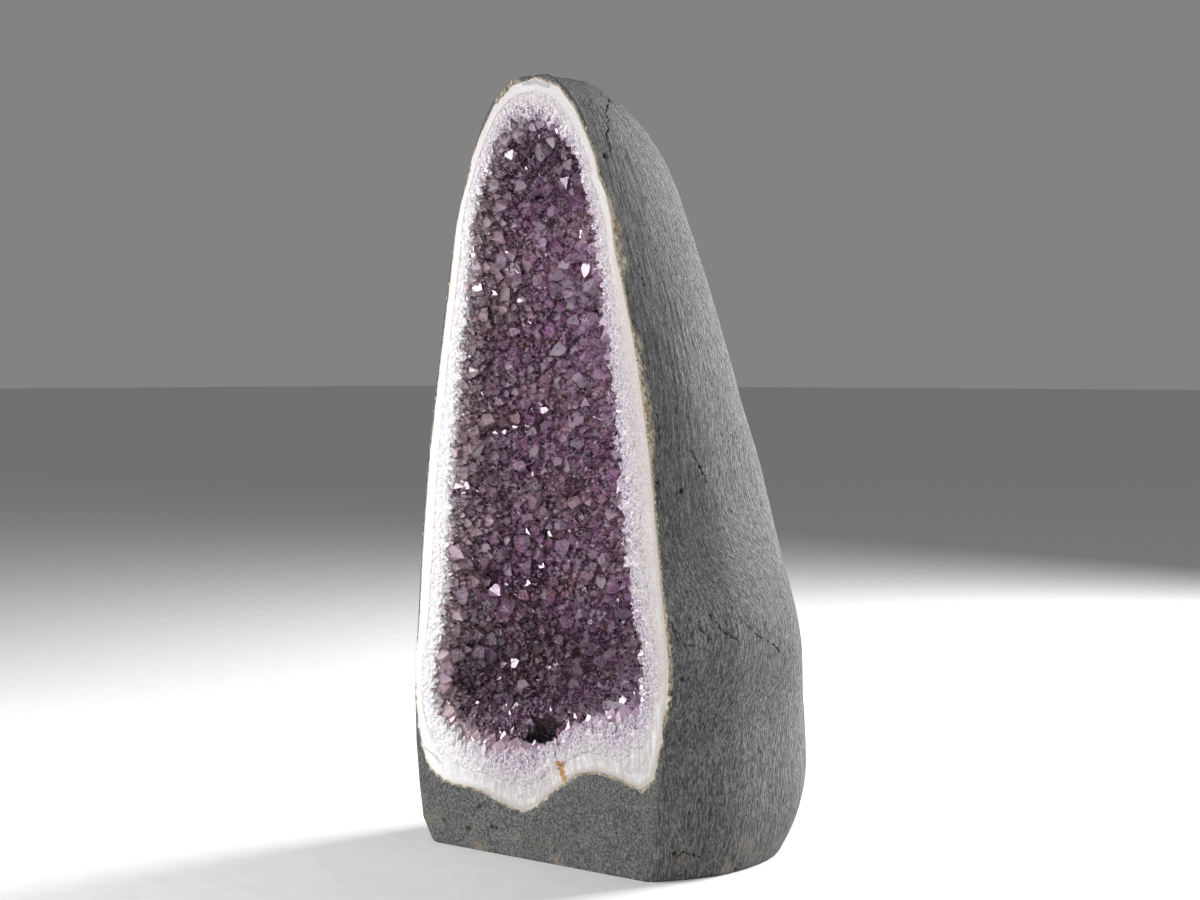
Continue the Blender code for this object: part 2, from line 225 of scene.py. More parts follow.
def split_long_edges(bm: BMesh, chosen: Callable[[BMFace], bool], longest: float, rounds: int) -> None:
    """Halves the edges of chosen faces until none is longer than a limit.

    Args:
        bm: the mesh.
        chosen: says whether a face is refined.
        longest: the limit, in metres.
        rounds: the most times that edges are halved.
    """
    for _ in range(rounds):
        refined = (face for face in bm.faces if chosen(face))
        long_edges = {edge for face in refined for edge in face.edges if edge.calc_length() > longest}
        if not long_edges:
            return
        bmesh.ops.subdivide_edges(bm, edges=list(long_edges), cuts=1, use_grid_fill=True)
        bmesh.ops.triangulate(bm, faces=[face for face in bm.faces if len(face.verts) > 4])


def sawn(bm: BMesh, place: Vector, normal: Vector) -> None:
    """Cuts away what lies beyond a plane and closes the cut with flat faces.

    Args:
        bm: the mesh.
        place: a place on the plane.
        normal: the side that is cut away.
    """
    whole = [*bm.verts, *bm.edges, *bm.faces]
    cut = bmesh.ops.bisect_plane(
        bm, geom=whole, dist=SAW_DIST, plane_co=place, plane_no=normal, clear_outer=True
    )
    edges = [part for part in cut["geom_cut"] if isinstance(part, BMEdge)]
    if edges:
        bmesh.ops.holes_fill(bm, edges=edges, sides=0)


def finished_mesh(name: str, bm: BMesh) -> Mesh:
    """Turns a bmesh into a mesh and frees it.

    Args:
        name: the mesh's name.
        bm: the bmesh.

    Returns:
        The mesh.
    """
    mesh = bpy.data.meshes.new(name)
    bm.to_mesh(mesh)
    bm.free()
    return mesh


def place_piece(mesh: Mesh, material: Material, part: Part, smooth_below: float | None = None) -> Object:
    """Puts a finished mesh into the scene as a piece that rides on the geode.

    Args:
        mesh: the piece's mesh, already in place.
        material: its finish.
        part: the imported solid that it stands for.
        smooth_below: edges flatter than this angle in degrees are shaded smooth, or None for flat facets.

    Returns:
        The piece.
    """
    piece = bpy.data.objects.new(mesh.name, mesh)
    bpy.context.scene.collection.objects.link(piece)
    mesh.materials.clear()
    mesh.materials.append(material)
    if smooth_below is None:
        mesh.shade_flat()
    else:
        mesh.shade_smooth()
        mesh.set_sharp_from_angle(angle=math.radians(smooth_below))
    node, slot = part.value
    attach(piece, BODY)
    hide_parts(node)
    mesh.calc_loop_triangles()
    log.info("%s: %d triangles", piece.name, len(mesh.loop_triangles))
    return piece


def set_point_values(mesh: Mesh, name: str, values: Sequence[float]) -> None:
    """Stores one number at each corner point of a mesh, for its material.

    Args:
        mesh: the mesh.
        name: what the material knows the numbers by.
        values: the numbers, in the order of the corner points.
    """
    layer = mesh.attributes.new(name, "FLOAT", "POINT")
    layer.data.foreach_set("value", np.asarray(values, np.float32))


# The saw cut
class SawnFace:
    """The plane of the saw cut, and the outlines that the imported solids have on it."""

    STEP = 0.0004  # spacing of the points along which distances to an outline are measured

    def __init__(self, nodes: dict[str, Object]) -> None:
        """Measures the cut.

        Args:
            nodes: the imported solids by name.
        """
        self.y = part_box("agate_wall")[0].y
        self.seam, self.crust_line = self.outlines(nodes["agate_wall"])
        self.mouth = self.eased(self.outlines(nodes["amethyst_crust"])[1])
        self.seam_points = self.along(self.seam, self.STEP)
        self.root_points = self.along(self.crust_line, self.STEP)
        self.seam_tree = self.tree_of(self.seam)
        self.mouth_tree = self.tree_of(self.mouth)
        self.crust_tree = self.tree_of(self.crust_line)

    def on_plane(self, vert: BMVert) -> bool:
        """Whether a vertex lies on the saw cut."""
        return vert.co.y < self.y + ON_PLANE

    def is_rim(self, face: BMFace) -> bool:
        """Whether a face is part of the saw cut."""
        return all(self.on_plane(vert) for vert in face.verts)

    def outlines(self, node: Object) -> tuple[np.ndarray, np.ndarray]:
        """The outlines of a solid's ring on the saw cut.

        Args:
            node: the solid.

        Returns:
            The outer and the inner outline, as rows of x and z.
        """
        bm = merged_copy(node)
        rim = {face for face in bm.faces if self.is_rim(face)}
        beside: dict[BMVert, list[BMVert]] = {}
        for edge in bm.edges:
            if len(rim.intersection(edge.link_faces)) == 1:
                first, second = edge.verts
                beside.setdefault(first, []).append(second)
                beside.setdefault(second, []).append(first)
        loops = []
        left = set(beside)
        while left:
            start = min(left, key=lambda vert: (vert.co.z, vert.co.x))
            loop = [start]
            left.discard(start)
            while True:
                onward = [vert for vert in beside[loop[-1]] if vert in left]
                if not onward:
                    break
                loop.append(onward[0])
                left.discard(onward[0])
            loops.append(np.array([(vert.co.x, vert.co.z) for vert in loop]))
        bm.free()
        loops.sort(key=lambda loop: -self.length(loop))
        return loops[0], loops[1]

    @staticmethod
    def length(loop: np.ndarray) -> float:
        """Length round a closed outline."""
        return float(np.hypot(*(np.roll(loop, -1, 0) - loop).T).sum())

    @staticmethod
    def eased(loop: np.ndarray) -> np.ndarray:
        """An outline with its teeth evened out.

        Args:
            loop: the outline, as rows of x and z.

        Returns:
            The evened outline.
        """
        for _ in range(2):
            loop = 0.25 * np.roll(loop, 1, 0) + 0.5 * loop + 0.25 * np.roll(loop, -1, 0)
        return loop

    @classmethod
    def along(cls, loop: np.ndarray, step: float) -> np.ndarray:
        """Points at an even spacing round a closed outline.

        Args:
            loop: the outline, as rows of x and z.
            step: the spacing.

        Returns:
            The points, as rows of x and z.
        """
        closed = np.vstack([loop, loop[:1]])
        runs = np.concatenate([[0.0], np.cumsum(np.hypot(*np.diff(closed, axis=0).T))])
        places = np.arange(0.0, runs[-1], step)
        return np.column_stack([np.interp(places, runs, closed[:, i]) for i in range(2)])

    @classmethod
    def tree_of(cls, loop: np.ndarray) -> KDTree:
        """Lays close points along an outline.

        Args:
            loop: the outline, as rows of x and z.

        Returns:
            Their search tree.
        """
        points = cls.along(loop, cls.STEP)
        tree = KDTree(len(points))
        for i, (x, z) in enumerate(points):
            tree.insert((x, 0.0, z), i)
        tree.balance()
        return tree

    @staticmethod
    def distance(tree: KDTree, place: Vector) -> float:
        """Distance in the plane of the cut from a place to an outline."""
        return tree.find((place.x, 0.0, place.z))[2]

    def root(self, place: Vector) -> tuple[float, float]:
        """The x and z of the crust's outer edge next to a place."""
        return self.root_points[self.crust_tree.find((place.x, 0.0, place.z))[1]]

    def seen_at(self, view: Viewpoint, pixels: Sequence[Pixel]) -> tuple[Vector, ...]:
        """Where pixels of the photograph lie on the plane of the saw cut.

        Args:
            view: the photograph's view.
            pixels: their columns and rows.

        Returns:
            Their places.
        """
        start = Vector(view.place)
        rays = [view.ray(pixel) for pixel in pixels]
        return tuple(start + ray * ((self.y - start.y) / ray.y) for ray in rays)

    def share(self, place: Vector) -> float:
        """How far a place of the sawn crust lies from the agate, 0, towards the hollow, 1."""
        out = self.distance(self.crust_tree, place)
        return out / max(1e-6, out + self.distance(self.mouth_tree, place))


# Node trees
class Graph:
    """Adds and links the nodes of one node tree."""

    BOTTOM = (0.085, 0.125)  # heights over which the rim's bottom ends
    GROWTH = (1.0, 1.0, 0.24)  # streaks along the crystals' growth at the bottom are drawn out upwards

    def __init__(self, tree: NodeTree) -> None:
        """Starts on a tree."""
        self.tree = tree

    def feed(self, socket: NodeSocket, value: object) -> None:
        """Links a socket to another, or sets its value.

        Args:
            socket: the input that is fed.
            value: a socket, a number, a vector, or a colour without its alpha.
        """
        if isinstance(value, NodeSocket):
            self.tree.links.new(value, socket)
        elif isinstance(value, tuple) and socket.type == "RGBA":
            socket.default_value = (*value[:3], 1.0)
        else:
            socket.default_value = value

    def add(self, kind: str, inputs: dict | None = None, **settings: object) -> Node:
        """Adds a node.

        Args:
            kind: the node's type.
            inputs: values or sockets for its inputs, by name or number.
            **settings: its own properties.

        Returns:
            The node.
        """
        node = self.tree.nodes.new(kind)
        for name, value in settings.items():
            setattr(node, name, value)
        for key, value in (inputs or {}).items():
            self.feed(node.inputs[key], value)
        return node

    def math(self, operation: str, *values: object) -> NodeSocket:
        """The result of a Math node."""
        return self.add("ShaderNodeMath", dict(enumerate(values)), operation=operation).outputs[0]

    def times(self, first: object, second: object) -> NodeSocket:
        """The product of two values."""
        return self.math("MULTIPLY", first, second)

    def mix(self, share: object, first: object, second: object) -> NodeSocket:
        """A mix of two colours."""
        return self.add("ShaderNodeMix", {0: share, 6: first, 7: second}, data_type="RGBA").outputs[2]

    def lay(self, colour: object, other: object, mask: object, share: object) -> NodeSocket:
        """A colour with another laid over it, by a share of a mask."""
        return self.mix(self.times(mask, share), colour, other)

    def spread(self, value: object, low: float, high: float, to: Range = (0.0, 1.0)) -> NodeSocket:
        """A value's stretch from low to high, spread smoothly over another range."""
        inputs = {0: value, 1: low, 2: high, 3: to[0], 4: to[1]}
        return self.add("ShaderNodeMapRange", inputs, interpolation_type="SMOOTHSTEP").outputs[0]

    def noise(self, where: object, scale: object, detail: float = 3.0, rough: float = 0.5) -> NodeSocket:
        """The value of a noise texture."""
        inputs = {"Vector": where, "Scale": scale, "Detail": detail, "Roughness": rough}
        return self.add("ShaderNodeTexNoise", inputs).outputs[0]

    def cells(self, where: object, scale: object, feature: str = "F1") -> Node:
        """A Voronoi texture node."""
        return self.add("ShaderNodeTexVoronoi", {"Vector": where, "Scale": scale}, feature=feature)

    def place(self) -> NodeSocket:
        """Object coordinates."""
        return self.add("ShaderNodeTexCoord").outputs["Object"]

    def coordinate(self, axis: str) -> NodeSocket:
        """One of the object coordinates, by its letter."""
        return self.add("ShaderNodeSeparateXYZ", {0: self.place()}).outputs[axis]

    def across(self) -> NodeSocket:
        """Distance to the right of the geode's middle plane."""
        return self.coordinate("X")

    def height(self) -> NodeSocket:
        """Height above the foot."""
        return self.coordinate("Z")

    def behind(self, plane_y: float) -> NodeSocket:
        """Depth behind the saw cut."""
        return self.math("SUBTRACT", self.coordinate("Y"), plane_y)

    def low(self) -> NodeSocket:
        """How far down a place lies: 1 in the rim's bottom, 0 above it."""
        return self.spread(self.height(), *self.BOTTOM, FALLING)

    def radial(self) -> NodeSocket:
        """Soft streaks along the growth of the rim's bottom."""
        return self.noise(self.mapped(self.place(), self.GROWTH), 430.0, 4.0, 0.62)

    def mapped(self, where: object, scale: Triple) -> NodeSocket:
        """Coordinates with each axis stretched."""
        return self.add("ShaderNodeMapping", {"Vector": where, "Scale": scale}).outputs[0]

    def spots(self, centres: Sequence[Vector], radius: float) -> NodeSocket:
        """Ragged spots with soft edges.

        Args:
            centres: their middles.
            radius: their radius.

        Returns:
            A mask, 1 in a spot and 0 outside.
        """
        grain = self.noise(self.place(), 520.0, 2.0)
        ragged = self.math("MULTIPLY_ADD", grain, 1.4 * radius, -0.7 * radius)
        found = 0.0
        for centre in centres:
            inputs = {0: self.place(), 1: tuple(centre)}
            away = self.add("ShaderNodeVectorMath", inputs, operation="DISTANCE").outputs["Value"]
            spot = self.spread(self.math("ADD", away, ragged), 0.55 * radius, 1.25 * radius, FALLING)
            found = self.math("MAXIMUM", spot, found)
        return found

    def attribute(self, name: str) -> NodeSocket:
        """A value stored on the mesh."""
        return self.add("ShaderNodeAttribute", attribute_name=name).outputs["Fac"]

    def bump(self, height: object, strength: float, distance: float, normal: object = None) -> NodeSocket:
        """A normal raised by a height.

        Args:
            height: what raises it.
            strength: the share of the effect.
            distance: how far a height of 1 reaches, in metres.
            normal: another relief that it lies on, if any.

        Returns:
            The normal.
        """
        inputs = {"Strength": strength, "Distance": distance, "Height": height}
        if normal is not None:
            inputs["Normal"] = normal
        return self.add("ShaderNodeBump", inputs).outputs[0]


def new_group(name: str, inputs: dict[str, float], outputs: Sequence[str]) -> tuple[Graph, Sockets, Sockets]:
    """Starts a node group that works on coordinates and on numbers.

    Args:
        name: the group's name.
        inputs: the numbers that it takes besides its Vector, with their values.
        outputs: the numbers that it gives.

    Returns:
        Its graph, what it is given, and where its results go.
    """
    tree = bpy.data.node_groups.new(name, "ShaderNodeTree")
    tree.interface.new_socket("Vector", in_out="INPUT", socket_type="NodeSocketVector")
    for label, value in inputs.items():
        socket = tree.interface.new_socket(label, in_out="INPUT", socket_type="NodeSocketFloat")
        socket.default_value = value
    for label in outputs:
        tree.interface.new_socket(label, in_out="OUTPUT", socket_type="NodeSocketFloat")
    graph = Graph(tree)
    return graph, graph.add("NodeGroupInput").outputs, graph.add("NodeGroupOutput").inputs


class Effects:
    """Effects that more than one finish uses, each a node group that is made once."""

    SPECK_FINENESS = 14.0  # the mottle's specks are this many times finer than its clouds

    def __init__(self) -> None:
        """Makes the node groups."""
        self.mottle = self.make_mottle()
        self.pits = self.make_pits()
        self.sugar = self.make_sugar()

    def make_mottle(self) -> NodeTree:
        """Makes soft clouds with finer specks in them.

        Returns:
            The node group.
        """
        graph, given, out = new_group("cloudy_mottle", {"Scale": 20.0}, ("Cloud", "Speck"))
        cloud = graph.noise(given["Vector"], given["Scale"], 5.0, 0.6)
        fine = graph.noise(given["Vector"], graph.times(given["Scale"], self.SPECK_FINENESS), 2.0, 0.5)
        graph.feed(out["Cloud"], graph.spread(cloud, 0.3, 0.7))
        graph.feed(out["Speck"], graph.spread(fine, 0.32, 0.68))
        return graph.tree

    @staticmethod
    def make_pits() -> NodeTree:
        """Makes scattered small round holes, as a mask.

        Returns:
            The node group.
        """
        numbers = {"Scale": 300.0, "Size": 0.25, "Share": 0.3}
        graph, given, out = new_group("small_pits", numbers, ("Mask",))
        cells = graph.cells(given["Vector"], given["Scale"])
        chance = graph.add("ShaderNodeSeparateColor", {0: cells.outputs["Color"]}).outputs[0]
        chosen = graph.math("LESS_THAN", chance, given["Share"])
        near = graph.math("SUBTRACT", given["Size"], cells.outputs["Distance"])
        graph.feed(out["Mask"], graph.times(graph.spread(near, 0.0, 0.16), chosen))
        return graph.tree

    @staticmethod
    def make_sugar() -> NodeTree:
        """Makes a crust of small glittering grains, as a grain colour, its joints and a height.

        Returns:
            The node group.
        """
        graph, given, out = new_group("sugary_grain", {"Scale": 500.0}, ("Grain", "Joint", "Height"))
        cells = graph.cells(given["Vector"], given["Scale"])
        edges = graph.cells(given["Vector"], given["Scale"], "DISTANCE_TO_EDGE")
        grain = graph.add("ShaderNodeSeparateColor", {0: cells.outputs["Color"]}).outputs[1]
        graph.feed(out["Grain"], grain)
        graph.feed(out["Joint"], graph.spread(edges.outputs["Distance"], 0.0, 0.12, FALLING))
        raised = graph.math("SUBTRACT", graph.times(grain, 0.7), cells.outputs["Distance"])
        graph.feed(out["Height"], raised)
        return graph.tree


class Finish:
    """A material under construction, with its Principled shader."""

    def __init__(self, name: str) -> None:
        """Starts a named material."""
        self.material = bpy.data.materials.new(name)
        self.material.use_nodes = True
        self.graph = Graph(self.material.node_tree)
        self.shader = self.material.node_tree.nodes["Principled BSDF"]

    def set(self, **values: object) -> None:
        """Feeds the shader's inputs, with underscores for spaces."""
        for name, value in values.items():
            self.graph.feed(self.shader.inputs[name.replace("_", " ")], value)

    def group(self, tree: NodeTree, **inputs: object) -> Sockets:
        """Places an effect.

        Args:
            tree: the effect's node group.
            **inputs: what it is fed, by name.

        Returns:
            Its outputs.
        """
        node = self.graph.add("ShaderNodeGroup", node_tree=tree)
        for name, value in inputs.items():
            self.graph.feed(node.inputs[name], value)
        return node.outputs


@dataclass(frozen=True)
class CementFinish:
    """Dull grey cement render, brushed while wet."""

    grey: Colour = (0.126, 0.128, 0.125)
    dark: Colour = (0.032, 0.034, 0.034)
    pale: Colour = (0.290, 0.293, 0.285)
    # painted shade in the pits and cracks
    pit_shade: Colour = (0.010, 0.011, 0.011)
    earth: Colour = (0.26, 0.215, 0.165)
    tan: Colour = (0.24, 0.195, 0.135)
    straw: Colour = (0.46, 0.41, 0.32)
    earthy: Range = (0.004, 0.024)  # heights over which the foot's earth stains end
    strokes: Triple = (720.0, 720.0, 150.0)  # brush marks per metre, twice across and once along
    wide_strokes: Triple = (170.0, 170.0, 18.0)
    drawn_grain: Triple = (1.0, 1.0, 0.45)  # each is drawn out along the brush marks
    drawn_pits: Triple = (1.0, 1.0, 0.42)
    drawn_crowds: Triple = (1.0, 1.0, 0.35)

    def make(self, effects: Effects) -> Material:
        """Builds the cement material, on the places as the brush saw them.

        Args:
            effects: the shared node groups.

        Returns:
            The material.
        """
        finish = Finish("brushed_cement")
        graph = finish.graph
        place = graph.place()
        brushed = graph.add("ShaderNodeAttribute", attribute_name="brushed").outputs["Vector"]
        clouds = finish.group(effects.mottle, Vector=place, Scale=16.0)
        streaks = graph.noise(graph.mapped(brushed, self.strokes), 1.0, 3.0, 0.62)
        wide = graph.noise(graph.mapped(brushed, self.wide_strokes), 1.0, 3.0, 0.55)
        grain = graph.noise(graph.mapped(brushed, self.drawn_grain), 1150.0, 2.0, 0.6)
        drawn = graph.mapped(brushed, self.drawn_pits)
        crowds = graph.noise(graph.mapped(brushed, self.drawn_crowds), 60.0, 2.0)
        crowd = graph.spread(crowds, 0.42, 0.62, (0.10, 0.48))
        pits = finish.group(effects.pits, Vector=drawn, Scale=480.0, Size=0.36, Share=crowd)
        drops = finish.group(effects.pits, Vector=drawn, Scale=210.0, Size=0.22, Share=0.07)
        broken = graph.spread(graph.noise(place, 1400.0, 1.0), 0.30, 0.44)
        dent = graph.times(graph.attribute("dent"), broken)

        colour = graph.mix(graph.spread(streaks, 0.36, 0.64), self.dark, self.pale)
        colour = graph.mix(0.38, colour, self.grey)
        colour = graph.lay(colour, self.dark, clouds["Cloud"], 0.22)
        colour = graph.lay(colour, self.pale, graph.spread(wide, 0.48, 0.75), 0.22)
        colour = graph.lay(colour, self.dark, graph.spread(grain, 0.48, 0.60), 0.78)
        patch = graph.spread(graph.noise(place, 45.0, 3.0), 0.50, 0.64)
        stained = graph.times(graph.spread(graph.height(), *self.earthy, FALLING), patch)
        colour = graph.lay(colour, self.earth, stained, 0.75)
        skin = graph.mix(graph.spread(graph.noise(place, 420.0, 3.0), 0.38, 0.62), self.tan, self.straw)
        ragged = graph.math("ADD", graph.attribute("rind"), graph.times(grain, 0.7))
        colour = graph.mix(graph.spread(ragged, 0.74, 0.98), colour, skin)
        holes = graph.math("MAXIMUM", pits["Mask"], drops["Mask"])
        # pits, holes and carved cracks painted near black, as painted shade in them
        colour = graph.lay(colour, self.pit_shade, holes, 0.85)
        colour = graph.lay(colour, self.pit_shade, dent, 0.85)

        relief = graph.bump(streaks, 1.0, 0.0020)
        relief = graph.bump(grain, 0.8, 0.0010, relief)
        relief = graph.bump(graph.math("SUBTRACT", 1.0, holes), 0.8, 0.0005, relief)
        finish.set(Base_Color=colour, Roughness=0.82, Specular_IOR_Level=0.4, Normal=relief)
        return finish.material


@dataclass(frozen=True)
class AgateFinish:
    """Sawn agate: an ivory outer band with faint layers that turns into pale sugary quartz."""

    ivory: Colour = (0.37, 0.335, 0.315)
    milk: Colour = (0.53, 0.49, 0.485)
    white: Colour = (0.80, 0.79, 0.79)
    frost: Colour = (0.50, 0.472, 0.445)
    lilac: Colour = (0.34, 0.295, 0.325)
    skin: Colour = (0.50, 0.43, 0.33)
    grey: Colour = (0.40, 0.40, 0.40)
    snow: Colour = (0.52, 0.515, 0.55)
    slate: Colour = (0.17, 0.185, 0.215)
    rust: Colour = (0.33, 0.160, 0.038)
    crack: Colour = (0.10, 0.10, 0.10)
    waver: float = 0.0022  # how far the layers stray
    rings: float = 5200.0  # the faint layers' phase per metre
    skin_ends: Range = (0.0002, 0.0009)  # these four are distances from the seam
    bottom_clears: Range = (0.0008, 0.0045)
    sugar_starts: Range = (0.0020, 0.0038)
    lilac_starts: Range = (0.0040, 0.0080)
    snow_starts: Range = (0.345, 0.400)  # heights
    lit_side: Range = (-0.095, -0.030)  # across, the side that is washed out by light
    stain: tuple[Vector, ...] = ()
    slates: tuple[Vector, ...] = ()

    def make(self, effects: Effects) -> Material:
        """Builds the agate material, on the distance from the seam that its mesh carries.

        Args:
            effects: the shared node groups.

        Returns:
            The material.
        """
        finish = Finish("sawn_agate")
        graph = finish.graph
        place = graph.place()
        inward = graph.attribute("from_seam")
        stray = graph.math("SUBTRACT", graph.noise(place, 90.0, 3.0), 0.5)
        layer = graph.math("ADD", inward, graph.times(stray, self.waver))
        bands = graph.math("SINE", graph.times(layer, self.rings))
        clouds = finish.group(effects.mottle, Vector=place, Scale=38.0)
        sugar = finish.group(effects.sugar, Vector=place, Scale=950.0)

        colour = graph.mix(graph.spread(bands, -1.0, 1.0, (0.0, 0.22)), self.ivory, self.milk)
        colour = graph.mix(graph.spread(layer, 0.0030, 0.0056), colour, self.milk)
        clear = graph.mix(graph.spread(graph.radial(), 0.38, 0.70), self.grey, self.white)
        sugary = graph.spread(layer, *self.sugar_starts)
        cloudy = graph.times(clouds["Cloud"], 0.40)
        blend = graph.math("MULTIPLY_ADD", sugar["Grain"], 0.70, cloudy)
        grains = graph.mix(blend, self.frost, self.lilac)
        grains = graph.lay(grains, self.white, sugar["Joint"], 0.45)
        colour = graph.mix(sugary, colour, grains)
        inner = graph.times(graph.spread(layer, *self.bottom_clears), graph.low())
        colour = graph.lay(colour, clear, inner, 0.65)
        high = graph.spread(graph.height(), *self.snow_starts, (0.0, 0.75))
        colour = graph.mix(high, colour, graph.mix(sugar["Grain"], self.milk, self.snow))
        tinted = graph.spread(sugar["Grain"], 0.2, 1.0)
        tint = graph.times(graph.spread(layer, *self.lilac_starts), tinted)
        colour = graph.lay(colour, self.lilac, tint, 0.55)
        colour = graph.lay(colour, self.ivory, clouds["Cloud"], 0.20)
        colour = graph.lay(colour, self.slate, graph.spots(self.slates, SLATE_RADIUS), 0.60)
        colour = graph.lay(colour, self.rust, graph.spots(self.stain, STAIN_RADIUS), 0.95)
        colour = graph.mix(graph.spread(graph.across(), *self.lit_side, (0.70, 0.0)), colour, self.white)
        colour = graph.lay(colour, self.skin, graph.spread(layer, *self.skin_ends, FALLING), 0.65)
        # the hairline crack is darkened, as painted shade in it
        colour = graph.lay(colour, self.crack, graph.attribute("dent"), 0.7)

        grainy = graph.math("MAXIMUM", sugary, high)
        relief = graph.bump(graph.times(sugar["Height"], grainy), 0.8, 0.0005)
        relief = graph.bump(clouds["Speck"], 0.25, 0.0002, relief)
        rough = graph.math("SUBTRACT", 0.55, graph.times(sugar["Grain"], 0.18))
        finish.set(Base_Color=colour, Roughness=rough, Normal=relief, Specular_IOR_Level=0.25)
        finish.set(Subsurface_Weight=0.12, Subsurface_Radius=(0.006, 0.005, 0.005), Subsurface_Scale=0.6)
        return finish.material


@dataclass(frozen=True)
class AmethystFinish:
    """Glassy amethyst: purple points with veils in them, rust-brown patches, and pale near the cut, with
    painted shade, a painted glow and painted highlights.
    """

    plane_y: float
    purple: Colour = (0.52, 0.20, 0.47)
    violet: Colour = (0.94, 0.66, 0.97)
    smoke: Colour = (0.66, 0.43, 0.42)
    rust: Colour = (0.42, 0.16, 0.11)
    # painted glow of light, on the left near the cut
    painted_glow: Colour = (0.93, 0.70, 0.69)
    bloom: Colour = (0.93, 0.77, 0.92)
    # the veils' colour, also painted on a few facets as painted highlights
    frost: Colour = (0.98, 0.84, 0.95)
    lilac: Colour = (0.90, 0.70, 0.92)
    shade: Colour = (0.050, 0.014, 0.038)
    sheen: Colour = (1.0, 0.80, 0.97)
    pale_ends: Range = (0.006, 0.024)  # these four are depths behind the saw cut
    glow_ends: Range = (0.012, 0.050)
    ledge_ends: Range = (0.012, 0.018)
    # painted shade in the hollow: the depth where it starts, then the heights and the distance across where
    # it lies
    painted_shade_starts: Range = (0.013, 0.020)
    painted_shade_bottom: Range = (0.108, 0.150)  # these three are heights
    painted_shade_top: Range = (0.375, 0.415)
    ledge_top: Range = (0.108, 0.140)
    glow_wall: Range = (-0.070, -0.030)  # these three are distances across
    glow_to_bloom: Range = (-0.060, 0.010)
    painted_shade_wall: Range = (0.015, 0.050)

    def make(self) -> Material:
        """Builds the crystal material, on the tint and the height along each crystal.

        Returns:
            The material.
        """
        finish = Finish("amethyst_points")
        graph = finish.graph
        veil = graph.noise(graph.place(), 310.0, 2.5, 0.62)
        depth = graph.behind(self.plane_y)
        colour = self.shaded(graph, self.tinted(graph, depth), veil, depth)
        scratches = graph.noise(graph.mapped(graph.place(), (1.0, 1.0, 3.0)), 800.0, 2.0)
        relief = graph.bump(scratches, 0.10, 0.0002)
        relief = graph.bump(veil, 0.12, 0.0006, relief)
        rough = graph.spread(veil, 0.35, 0.75, (0.02, 0.12))
        finish.set(Base_Color=colour, Roughness=rough, Normal=relief, IOR=1.544)
        finish.set(Transmission_Weight=0.55, Specular_IOR_Level=1.0, Specular_Tint=self.sheen)
        finish.set(Coat_Weight=0.55, Coat_Roughness=0.02)
        return finish.material

    def tinted(self, graph: Graph, depth: NodeSocket) -> NodeSocket:
        """The crystals' colour: purple, with smoky and rusty patches, pale near the cut, and a painted glow
        of light on the left near the cut.

        Args:
            graph: the material's graph.
            depth: the depth behind the saw cut.

        Returns:
            The colour.
        """
        place = graph.place()
        tint = graph.attribute("tint")
        patches = graph.noise(graph.mapped(place, (1.0, 1.0, 1.7)), 17.0, 4.0, 0.62)
        streaks = graph.noise(graph.mapped(place, (1.0, 1.0, 2.6)), 30.0, 4.0, 0.65)
        colour = graph.mix(graph.spread(tint, 0.15, 1.0), self.purple, self.violet)
        colour = graph.lay(colour, self.smoke, graph.spread(patches, 0.46, 0.64), 0.70)
        colour = graph.lay(colour, self.rust, graph.spread(streaks, 0.55, 0.68), 0.45)
        rusty = graph.spread(graph.attribute("rusty"), 0.15, 0.75, (0.0, 0.8))
        colour = graph.mix(rusty, colour, self.rust)
        # paler near the cut: lavender on the right, and on the left a painted glow of light, also on the wall
        # behind
        bloom = graph.mix(graph.spread(graph.across(), *self.glow_to_bloom), self.painted_glow, self.bloom)
        colour = graph.lay(colour, bloom, graph.spread(depth, *self.pale_ends, FALLING), 0.88)
        wall = graph.spread(graph.across(), *self.glow_wall, (0.60, 0.0))
        colour = graph.lay(colour, self.painted_glow, wall, graph.spread(depth, *self.glow_ends, FALLING))
        return graph.lay(colour, self.lilac, graph.spread(tint, 0.91, 0.94), 0.65)

    def shaded(self, graph: Graph, colour: NodeSocket, veil: NodeSocket, depth: NodeSocket) -> NodeSocket:
        """The colour with painted shade deep in the hollow's bottom, top and right wall, dark facets, a few
        facets painted white as highlights, veils and painted shade at the crystals' feet.

        Args:
            graph: the material's graph.
            colour: the crystals' colour, with its painted glow.
            veil: the noise that clouds them.
            depth: the depth behind the saw cut.

        Returns:
            The colour.
        """
        height = graph.height()
        facet = graph.attribute("facet")
        # painted shade deeper in: at the hollow's bottom behind the rim, at its top and on its right-hand
        # wall
        bottom = graph.spread(height, *self.painted_shade_bottom, (0.46, 0.0))
        painted_shade = graph.math("MAXIMUM", bottom, graph.spread(height, *self.painted_shade_top, (0.0, 0.55)))
        side = graph.spread(graph.across(), *self.painted_shade_wall, (0.0, 0.40))
        painted_shade = graph.math("MAXIMUM", painted_shade, side)
        colour = graph.lay(colour, self.shade, painted_shade, graph.spread(depth, *self.painted_shade_starts))
        # the share of the dark facets, dark cores and painted shade at the feet that is kept; the front ledge
        # at the bottom keeps less of it
        front = graph.spread(depth, *self.ledge_ends, FALLING)
        ledge = graph.times(front, graph.spread(height, *self.ledge_top, FALLING))
        darkening_share = graph.math("MULTIPLY_ADD", ledge, -0.75, 1.0)
        colour = graph.lay(colour, self.shade, graph.spread(facet, 0.45, 0.72, (0.0, 0.92)), darkening_share)
